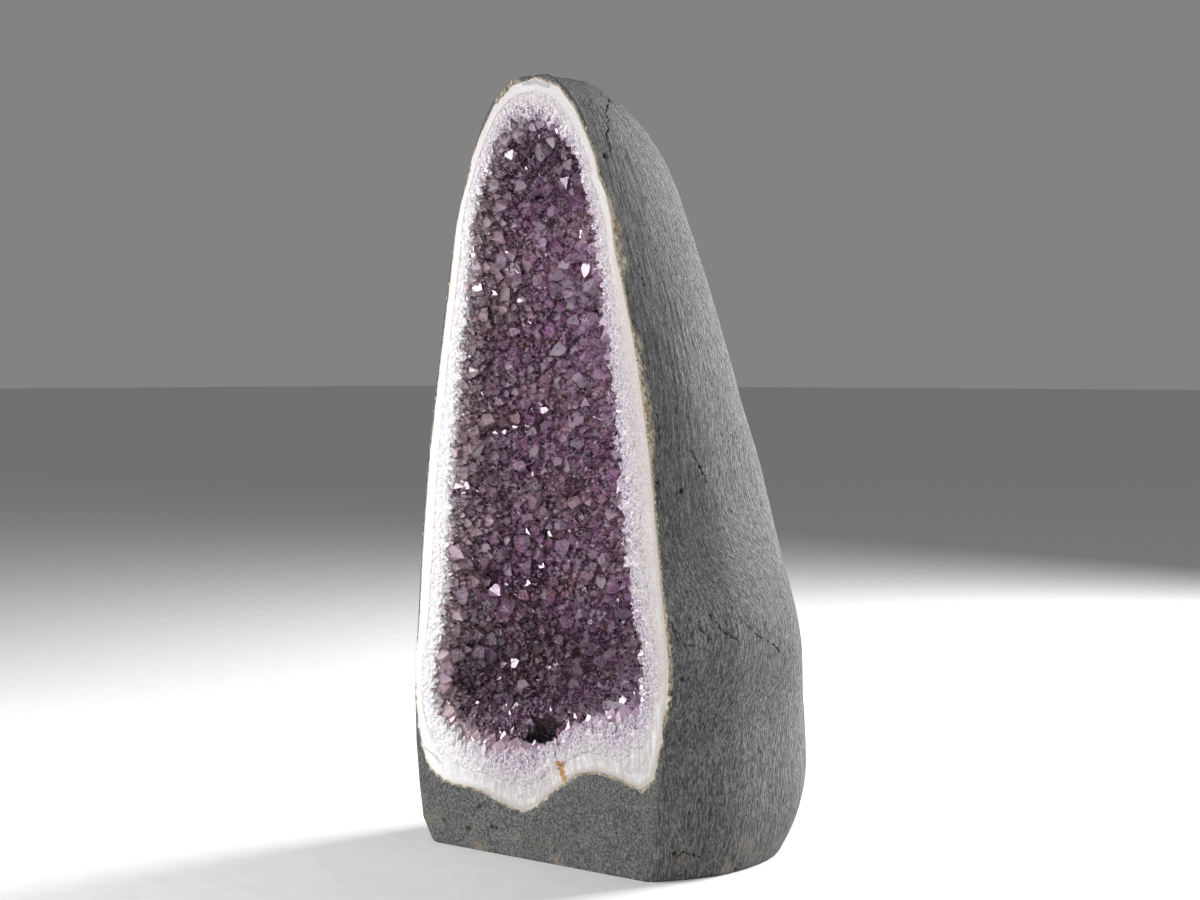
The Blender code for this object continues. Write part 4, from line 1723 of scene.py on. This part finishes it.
@dataclass
class CrystalBed:
    """The crust that the crystals grow from, with the hollow's shape and a sawn rim."""

    node: Object
    face: SawnFace
    hole: Pocket
    smoothings: int = 10
    rim_behind: float = 0.00014
    overlap: float = 0.0010  # how far the rim's outer edge reaches under the agate
    fall: float = 0.0050  # how far the rim falls back at the mouth
    grain: float = 0.00016
    rim_depth: float = 0.006  # how far back the bed counts as part of the sawn rim
    hole_top: float = 0.12  # the pocket ends below this height
    clear: float = 9.0  # the nearness of what lies well clear of the pocket
    finest: float = 0.0014
    lump_height: float = 0.0022
    lump_length: float = 0.032

    def build(self) -> None:
        """Smooths the solid's facets into a bed and refines its sawn rim."""
        bm = merged_copy(self.node)
        inside = self.inner_side(bm)
        free = [vert for vert in inside if not self.face.on_plane(vert)]
        for _ in range(self.smoothings):
            bmesh.ops.smooth_vert(
                bm, verts=free, factor=0.5, use_axis_x=True, use_axis_y=True, use_axis_z=True
            )
        bm = rounded(bm, 1, lambda edge: all(self.face.on_plane(vert) for vert in edge.verts))
        for name in ("share", "tint", "pocket"):
            bm.verts.layers.float.new(name)
        bm.normal_update()
        self.shape_inside(bm)
        split_long_edges(bm, self.face.is_rim, self.finest, 5)
        side = self.inner_side(bm)
        self.inner_faces = [face for face in bm.faces if all(vert in side for vert in face.verts)]
        share = bm.verts.layers.float["share"]
        tint = bm.verts.layers.float["tint"]
        for vert in bm.verts:
            in_rim = vert.co.y < self.face.y + self.rim_depth
            vert[share] = self.face.share(vert.co) if in_rim else 1.0
            vert[tint] = 0.5 + 0.7 * noise.noise(vert.co / 0.004)
            if self.face.on_plane(vert):
                x, z = self.face.root(vert.co)
                out = Vector((x - vert.co.x, 0.0, z - vert.co.z))
                if out.length < self.overlap:
                    beyond = Vector((x, 0.0, z)) - self.face.mouth_tree.find((x, 0.0, z))[0]
                    vert.co += beyond.normalized() * self.overlap
                grains = noise.noise(vert.co / 0.0011) + noise.noise(vert.co / 0.0045)
                vert.co.y += self.rim_behind + self.grain * (1.0 + grains)
                vert.co.y += self.fall * max(0.0, vert[share] - 0.3) ** 2
        bm.normal_update()
        self.bm = bm

    def inner_side(self, bm: BMesh) -> set[BMVert]:
        """Finds the crust's inner side, which has more corners than its outer side.

        Args:
            bm: the crust.

        Returns:
            The inner side's vertices.
        """
        sides: list[set[BMVert]] = []
        left = {face for face in bm.faces if not self.face.is_rim(face)}
        while left:
            heap = [left.pop()]
            side: set[BMVert] = set()
            while heap:
                face = heap.pop()
                side.update(face.verts)
                for edge in face.edges:
                    for other in edge.link_faces:
                        if other in left:
                            left.discard(other)
                            heap.append(other)
            sides.append(side)
        return max(sides, key=len)

    def shape_inside(self, bm: BMesh) -> None:
        """Gives the inner side its soft lumps and the dark pocket at its bottom.

        Args:
            bm: the rounded crust.
        """
        inside = self.inner_side(bm)
        self.tree = BVHTree.FromBMesh(bm)
        self.hole.settle(self.tree)
        pocket = bm.verts.layers.float["pocket"]
        for vert in inside:
            place = vert.co.copy()
            behind = place.y - self.face.y
            if behind < ON_PLANE:
                continue
            fade = min(1.0, behind / 0.015)
            lump = noise.noise(place / self.lump_length)
            lump += 0.6 * noise.noise(place / (0.45 * self.lump_length))
            raised = self.lump_height * lump * fade
            near = self.hole.nearness(place) if place.z < self.hole_top else self.clear
            # the pocket's share, by which its finish paints it near black as painted shade
            vert[pocket] = math.exp(-((near / 1.25) ** 4))
            raised -= self.hole.depth * math.exp(-(near**2)) * fade
            vert.co = place + vert.normal * raised

    def dress(self, material: Material) -> Object:
        """Gives the bed its finish."""
        return place_piece(finished_mesh("quartz_bed", self.bm), material, Part.CRUST, 35.0)


@dataclass
class HollowCrystals:
    """The points that fill the hollow, standing on the bed at mixed sizes and leans."""

    bed: CrystalBed
    forms: CrystalForms
    candidates: int = 60000
    spacing: float = 0.0046
    variety: float = 0.30
    small_spacing: float = 0.0027
    lean: float = 0.34
    steepest: float = 0.75
    rim_margin: float = 0.0022  # nearer to the saw cut only the sawn rim's own crystals stand
    darkest: float = 0.4  # no crystal stands where the pocket is darker
    cell: float = 0.010  # of the grid that finds the neighbours
    stand_outs: tuple = (
        (611, 517, 5.4, 0.98), (503, 455, 4.2, 0.97), (584, 301, 3.8, 0.97), (493, 540, 4.4, 0.60),
        (595, 565, 4.4, 0.80), (545, 470, 4.6, 0.50), (488, 520, 4.2, 0.40), (560, 640, 4.4, 0.55),
        (520, 300, 4.0, 0.90), (560, 420, 4.0, 0.85), (530, 600, 4.8, 0.35), (600, 620, 4.2, 0.65),
    )  # column and row in the photograph, half width in millimetres, tint

    def inside(self) -> tuple[list[Vector], list[Vector]]:
        """Draws random places on the bed's inner side.

        Returns:
            The places, and the directions that face into the hollow.
        """
        faces = self.bed.inner_faces
        pocket = self.bed.bm.verts.layers.float["pocket"]
        areas = np.array([face.calc_area() for face in faces])
        picks = np.random.default_rng(SEED)
        chosen = picks.choice(len(faces), self.candidates, p=areas / areas.sum())
        shares = picks.dirichlet(np.ones(4), self.candidates)
        places, directions = [], []
        for number, share in zip(chosen, shares):
            verts = list(faces[number].verts)
            weights = share[: len(verts)] / share[: len(verts)].sum()
            place = sum((vert.co * float(w) for vert, w in zip(verts, weights)), Vector())
            if place.y < self.bed.face.y + self.rim_margin or verts[0][pocket] > self.darkest:
                continue
            direction = sum((vert.normal * float(w) for vert, w in zip(verts, weights)), Vector())
            places.append(place)
            directions.append(direction.normalized())
        return places, directions

    def thinned(self, places: Sequence[Vector], rooms: Sequence[float], grid: dict) -> list[int]:
        """Numbers of the places that stand clear of the ones kept before them.

        Args:
            places: the candidates, in order.
            rooms: how much room each takes, from side to side.
            grid: places kept earlier, by grid cell; the new ones are added to it.

        Returns:
            The kept numbers.
        """
        kept = []
        for i, (place, room) in enumerate(zip(places, rooms)):
            key = tuple(math.floor(c / self.cell) for c in place)
            around = itertools.product(*((c - 1, c, c + 1) for c in key))
            near = (taken for beside in around for taken in grid.get(beside, ()))
            if all((place - other).length >= 0.5 * (room + width) for other, width in near):
                kept.append(i)
                grid.setdefault(key, []).append((place, room))
        return kept

    def grow(self) -> tuple[CrystalHeap, CrystalHeap]:
        """Stands the large and the small crystals on the bed.

        Returns:
            The heap of large crystals and the heap of small ones.
        """
        rng = random.Random(SEED)
        places, directions = self.inside()
        large = CrystalHeap(self.bed.face.y, whole_only=True)
        small = CrystalHeap(self.bed.face.y, whole_only=True)
        grid: dict = {}
        view = self.bed.hole.view
        for column, row, half, tint in self.stand_outs:
            start = Vector(view.place)
            place, normal, _, _ = self.bed.tree.ray_cast(start, view.ray((column, row)))
            if place:
                self.thinned([place], [half * 0.0019], grid)
                self.stand(large, self.forms.whole, place, normal, half / 1000, rng, tint)
        rooms = []
        for place in places:
            size = self.spacing * (1.0 + 0.35 * noise.noise(place / 0.02))
            rooms.append(size * min(1.8, max(0.62, math.exp(rng.gauss(0.0, self.variety)))))
        order = sorted(range(len(places)), key=lambda i: -rooms[i] * rng.uniform(0.45, 1.0))
        for number in self.thinned([places[i] for i in order], [rooms[i] for i in order], grid):
            i = order[number]
            half = 0.62 * rooms[i] * rng.uniform(0.85, 1.15)
            self.stand(large, self.forms.whole, places[i], directions[i], half, rng, rng.random())
        rooms = [self.small_spacing * rng.uniform(0.7, 1.25) for _ in places]
        crowd = {key: [(place, 0.40 * room) for place, room in row] for key, row in grid.items()}
        for i in self.thinned(places, rooms, crowd):
            half = 0.66 * rooms[i] * rng.uniform(0.8, 1.2)
            self.stand(small, self.forms.small, places[i], directions[i], half, rng, rng.random() * 0.93)
        log.info("hollow crystals: %d large, %d small", large.crystals, small.crystals)
        return large, small

    def stand(
        self,
        heap: CrystalHeap,
        forms: Sequence[CrystalForm],
        place: Vector,
        direction: Vector,
        half: float,
        rng: random.Random,
        tint: float,
    ) -> None:
        """Stands one crystal on the bed, leaning at random.

        Args:
            heap: where it is gathered.
            forms: the forms that it is drawn from.
            place: its place on the bed.
            direction: square to the bed.
            half: its half width.
            rng: the draws.
            tint: its tint, 0 to 1.
        """
        side = direction.orthogonal().normalized()
        side.rotate(Quaternion(direction, rng.uniform(0, 2 * math.pi)))
        lean = min(self.steepest, abs(rng.gauss(0.0, self.lean)))
        axis = (direction + side * lean).normalized()
        hole = self.bed.hole
        away = hole.nearness if forms is self.forms.small else hole.seen
        if away(place + axis * half) < 1.0:
            return
        rise = rng.uniform(-0.45, 0.55) * half
        matrix = standing(place + axis * rise, axis, (half, half, half * rng.uniform(0.9, 1.3)), rng)
        heap.stand(rng.choice(forms), matrix, tint)


@dataclass(frozen=True)
class RimRow:
    """One row of crystals round the mouth, all measures in metres."""

    step: float
    half_width: tuple[float, float]
    reach: tuple[float, float]  # past the mouth's outline
    behind: tuple[float, float]  # how far the axis lies behind the saw cut
    lean: tuple[float, float]  # of the axis, away from the saw cut
    swing: float  # in degrees, to either side
    fall: float = 0.0  # how much the cut falls back towards the hollow, as a slope
    tilt: float = 0.0  # how much it leans to either side, as a slope


@dataclass
class RimCrystals:
    """Crystals that the saw cut through: sections that point from the agate into the hollow."""

    face: SawnFace
    hole: Pocket
    forms: CrystalForms
    sawn_rows: tuple[RimRow, ...] = (
        RimRow(0.0042, (0.0020, 0.0036), (-0.0020, 0.0020), (-0.0008, 0.0012), (-0.05, 0.15), 12, 0.08, 0.14),
        RimRow(0.0030, (0.0014, 0.0026), (-0.0012, 0.0022), (0.0002, 0.0014), (0.0, 0.3), 24, 0.10, 0.30),
        RimRow(0.0036, (0.0016, 0.0030), (-0.0055, 0.0010), (0.0000, 0.0012), (0.0, 0.25), 20, 0.12, 0.30),
        RimRow(0.0024, (0.0009, 0.0018), (-0.0016, 0.0020), (0.0004, 0.0016), (0.0, 0.3), 24, 0.12, 0.35),
        RimRow(0.0034, (0.0016, 0.0030), (-0.0010, 0.0032), (0.0012, 0.0028), (0.0, 0.25), 20, 0.15, 0.25),
    )
    low_rows: tuple[RimRow, ...] = (
        RimRow(0.0044, (0.0032, 0.0048), (0.0040, 0.0090), (0.0072, 0.0098), (0.00, 0.15), 18),
        RimRow(0.0046, (0.0026, 0.0036), (0.0010, 0.0056), (0.0054, 0.0070), (0.00, 0.18), 20),
    )
    low_top: float = 0.120
    shortest: float = 0.0025
    scallop: float = 0.0042
    scallop_length: float = 0.0075
    low_reach: float = 0.0006  # more reach for the crystals at the bottom
    whole_rows: tuple[RimRow, ...] = (
        RimRow(0.0028, (0.0016, 0.0029), (-0.0020, 0.0032), (0.0022, 0.0050), (0.05, 0.35), 18),
        RimRow(0.0030, (0.0016, 0.0029), (-0.0025, 0.0026), (0.0042, 0.0080), (0.10, 0.50), 20),
        RimRow(0.0034, (0.0015, 0.0028), (-0.0030, 0.0018), (0.0070, 0.0115), (0.10, 0.50), 20),
    )

    def grow(self, rows: Sequence[RimRow], whole_only: bool) -> CrystalHeap:
        """Stands rows of crystals round the mouth.

        Args:
            rows: the rows, from the saw cut backwards.
            whole_only: whether crystals that reach the saw cut are left out instead of sawn off.

        Returns:
            The heap of crystals.
        """
        rng = random.Random(SEED + 1 + int(whole_only))
        heap = CrystalHeap(self.face.y, whole_only=whole_only)
        for row in rows:
            for x, z in SawnFace.along(self.face.mouth, row.step):
                if row not in self.low_rows or z < self.low_top:
                    self.stand(heap, row, Vector((x, self.face.y, z)), rng)
        log.info("rim crystals: %d", heap.crystals)
        return heap

    def stand(self, heap: CrystalHeap, row: RimRow, mouth: Vector, rng: random.Random) -> None:
        """Stands one crystal of a row.

        Args:
            heap: where it is gathered.
            row: the row.
            mouth: a place on the mouth's outline.
            rng: the draws.
        """
        mouth = mouth + Vector((rng.uniform(-0.5, 0.5), 0.0, rng.uniform(-0.5, 0.5))) * row.step
        x, z = self.face.root(mouth)
        root = Vector((x, self.face.y, z))
        run = mouth - root
        uneven = noise.noise(mouth / self.scallop_length) + 0.3 * noise.noise(mouth / 0.0028)
        scallop = self.scallop * (0.15 + uneven)
        low = self.low_reach if mouth.z < self.low_top else 0.0
        reach = max(self.shortest, run.length + rng.uniform(*row.reach) + scallop + low)
        half = min(rng.uniform(*row.half_width), reach / 1.7)
        axis = run.normalized()
        axis.rotate(Quaternion((0.0, 1.0, 0.0), math.radians(rng.gauss(0, row.swing))))
        axis.y += rng.uniform(*row.lean)
        axis.normalize()
        start = root + Vector((0.0, rng.uniform(*row.behind), 0.0))
        long_half = min(1.3 * half, reach / (CrystalForms.POINT + CrystalForms.ROOT))
        shoulder = start + axis * (reach - CrystalForms.POINT * long_half)
        matrix = standing(shoulder, axis, (half, half, long_half), rng)
        if not (heap.whole_only and self.hole.seen(start + axis * reach) < 1.0):
            side = rng.gauss(0.0, row.tilt)
            slant = (row.fall * axis.x - side * axis.z, row.fall * axis.z + side * axis.x)
            heap.stand(rng.choice(self.forms.whole), matrix, rng.random(), slant)

    def dress(self, heap: CrystalHeap, material: Material) -> Object:
        """Joins the sawn crystals and dresses them.

        Args:
            heap: the sawn crystals.
            material: their finish.

        Returns:
            The piece.
        """
        mesh = heap.mesh("sawn_rim_crystals")
        shares = [self.face.share(Vector(place)) for place in np.vstack(heap.points)]
        set_point_values(mesh, "share", shares)
        return place_piece(mesh, material, Part.CRUST)


# Tan rind
@dataclass
class TanRind:
    """Crumbs of the weathered skin along the seam, thickest on the right and at the notched top."""

    face: SawnFace
    casing: Object
    pattern: RindPattern = RindPattern()
    under_low: float = 0.075  # below this height the crumbs lie under the seam
    sizes: Range = (0.00025, 0.00070)
    crumbs: int = 9000
    spread: float = 0.0040
    strip: tuple[float, float] = (-0.0004, 0.0014)  # how far the crumbs lie outside the seam

    def dress(self, material: Material) -> Object:
        """Heaps the crumbs and dresses them.

        Args:
            material: their finish.

        Returns:
            The piece.
        """
        rng = random.Random(SEED + 2)
        bm = bmesh.new()
        bm.from_mesh(self.casing.data)
        tree = BVHTree.FromBMesh(bm)
        bm.free()
        stone = bmesh.new()
        bmesh.ops.create_icosphere(stone, subdivisions=1, radius=1.0)
        stone.verts.index_update()
        ball = np.array([vert.co for vert in stone.verts])
        faces = [tuple(vert.index for vert in face.verts) for face in stone.faces]
        stone.free()
        heap = CrystalHeap(self.face.y)
        seam = self.face.seam_points
        middle = seam.mean(0)
        for _ in range(self.crumbs):
            x, z = seam[rng.randrange(len(seam))]
            share = self.pattern.amount(x, z)
            if rng.random() > share + 0.08:
                continue
            out = Vector((x - middle[0], 0.0, (z - middle[1]) * 0.3)).normalized()
            if z < self.under_low:
                out = Vector((0.0, 0.0, -1.0))
            back = rng.expovariate(1.0) * self.spread * share
            place = Vector((x, self.face.y + back, z)) + out * rng.uniform(*self.strip)
            found = tree.find_nearest(place)
            size = rng.uniform(*self.sizes) * (0.8 + 0.7 * share)
            centre = found[0] + found[1] * size * 0.1
            jitter = np.array([[rng.uniform(0.6, 1.4) for _ in range(3)] for _ in ball])
            scale = np.array([rng.uniform(0.7, 1.4), rng.uniform(0.6, 1.3), rng.uniform(0.7, 1.9)])
            points = ball * jitter * scale * size + np.array(centre)
            heap.take(points, np.zeros(len(points)), faces, rng.random())
        return place_piece(heap.mesh("tan_rind"), material, Part.CASING)


# Studio
@dataclass(frozen=True)
class Softbox:
    """A square soft light."""

    name: str
    place: Triple
    aim: Triple
    size: float
    watts: float


@dataclass
class Studio:
    """Pale floor, soft lights and the camera."""

    view: Viewpoint
    floor_size: float = 60.0
    pale: tuple[Colour, Colour] = ((0.66, 0.66, 0.66), (0.69, 0.69, 0.69))
    room: Colour = (0.90, 0.90, 0.90)
    ambient: float = 0.25
    lights: tuple[Softbox, ...] = (
        Softbox("key_left", (-0.68, -0.68, 0.44), (0.0, 0.0, 0.22), 0.36, 7.2),
        Softbox("rim_right", (0.33, 1.40, 0.88), (0.0, 0.05, 0.26), 0.60, 74.0),
        Softbox("front_glint", (0.10, -1.55, 0.65), (0.0, 0.0, 0.22), 0.44, 7.6),
        Softbox("high_glint", (-0.10, -1.00, 1.35), (0.0, 0.0, 0.22), 0.38, 5.4),
        Softbox("side_glint", (0.45, -1.45, 0.95), (0.0, 0.0, 0.22), 0.36, 3.8),
    )

    def build_floor(self) -> None:
        """Lays a wide pale floor."""
        bm = bmesh.new()
        bmesh.ops.create_grid(bm, x_segments=2, y_segments=2, size=self.floor_size / 2)
        mesh = finished_mesh("pale_floor", bm)
        floor = bpy.data.objects.new("pale_floor", mesh)
        bpy.context.scene.collection.objects.link(floor)
        finish = Finish("pale_floor")
        fine = finish.graph.noise(finish.graph.place(), 60.0, 3.0)
        colour = finish.graph.mix(finish.graph.spread(fine, 0.3, 0.7), *self.pale)
        finish.set(Base_Color=colour, Roughness=0.6)
        mesh.materials.append(finish.material)

    def build_lights(self) -> None:
        """Hangs the softboxes and sets the even light of the room."""
        for box in self.lights:
            lamp = bpy.data.lights.new(box.name, "AREA")
            lamp.energy = box.watts
            lamp.size = box.size
            holder = bpy.data.objects.new(box.name, lamp)
            holder.location = box.place
            aim = Vector(box.aim) - Vector(box.place)
            holder.rotation_euler = aim.to_track_quat("-Z", "Y").to_euler()
            bpy.context.scene.collection.objects.link(holder)
        world = bpy.data.worlds.new("room")
        world.use_nodes = True
        background = world.node_tree.nodes["Background"].inputs
        background["Color"].default_value = (*self.room, 1.0)
        background["Strength"].default_value = self.ambient
        bpy.context.scene.world = world

    def build_camera(self) -> None:
        """Stands the camera at the photograph's view."""
        lens = bpy.data.cameras.new("photograph")
        lens.lens = self.view.lens_mm
        lens.sensor_width = self.view.sensor_mm
        camera = bpy.data.objects.new("photograph", lens)
        camera.location = self.view.place
        camera.rotation_euler = self.view.turn().to_euler()
        bpy.context.scene.collection.objects.link(camera)
        bpy.context.scene.camera = camera

    def build(self) -> None:
        """Sets up the studio, with the picture's tones taken as they are."""
        bpy.context.scene.view_settings.view_transform = "Standard"
        self.build_floor()
        self.build_lights()
        self.build_camera()


def clear_startup() -> None:
    """Removes the objects of the file that the script starts in."""
    for obj in list(bpy.data.objects):
        bpy.data.objects.remove(obj, do_unlink=True)


def main() -> None:
    """Builds the pieces in order."""
    logging.basicConfig(level=logging.INFO, format="%(message)s")
    clear_startup()
    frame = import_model()
    nodes = frame["nodes"]
    view = Viewpoint()
    effects = Effects()
    face = SawnFace(nodes)

    cement = CementFinish().make(effects)
    casing = CementCasing(nodes["cement_casing"], face, view).dress(cement)
    stain = face.seen_at(view, STAIN_LINE)
    agate = AgateFinish(stain=stain, slates=face.seen_at(view, SLATE_LINE)).make(effects)
    AgateWall(nodes["agate_wall"], face, view).dress(agate)

    hole = Pocket(view)
    bed = CrystalBed(nodes["amethyst_crust"], face, hole)
    bed.build()
    forms = CrystalForms(FORMS, random.Random(SEED))
    stubs = CrystalForms(FORMS, random.Random(SEED), STUB_ROOT)
    large, small = HollowCrystals(bed, stubs).grow()
    sawn_quartz = SawnQuartzFinish(face.y, stain=stain).make(effects)
    bed.dress(sawn_quartz)
    rim = RimCrystals(face, hole, forms)
    rim.dress(rim.grow(rim.sawn_rows, False), sawn_quartz)
    amethyst = AmethystFinish(face.y).make()
    mouth = rim.grow(rim.whole_rows + rim.low_rows, True)
    place_piece(mouth.mesh("mouth_crystals"), amethyst, Part.CRUST)
    place_piece(large.mesh("amethyst_points"), amethyst, Part.CRUST)
    place_piece(small.mesh("amethyst_small_points"), amethyst, Part.CRUST)
    TanRind(face, casing).dress(RindFinish().make(effects))
    for form in forms.whole + forms.small + stubs.whole + stubs.small:
        bpy.data.meshes.remove(form.mesh)

    Studio(view).build()


if __name__ == "__main__":
    main()
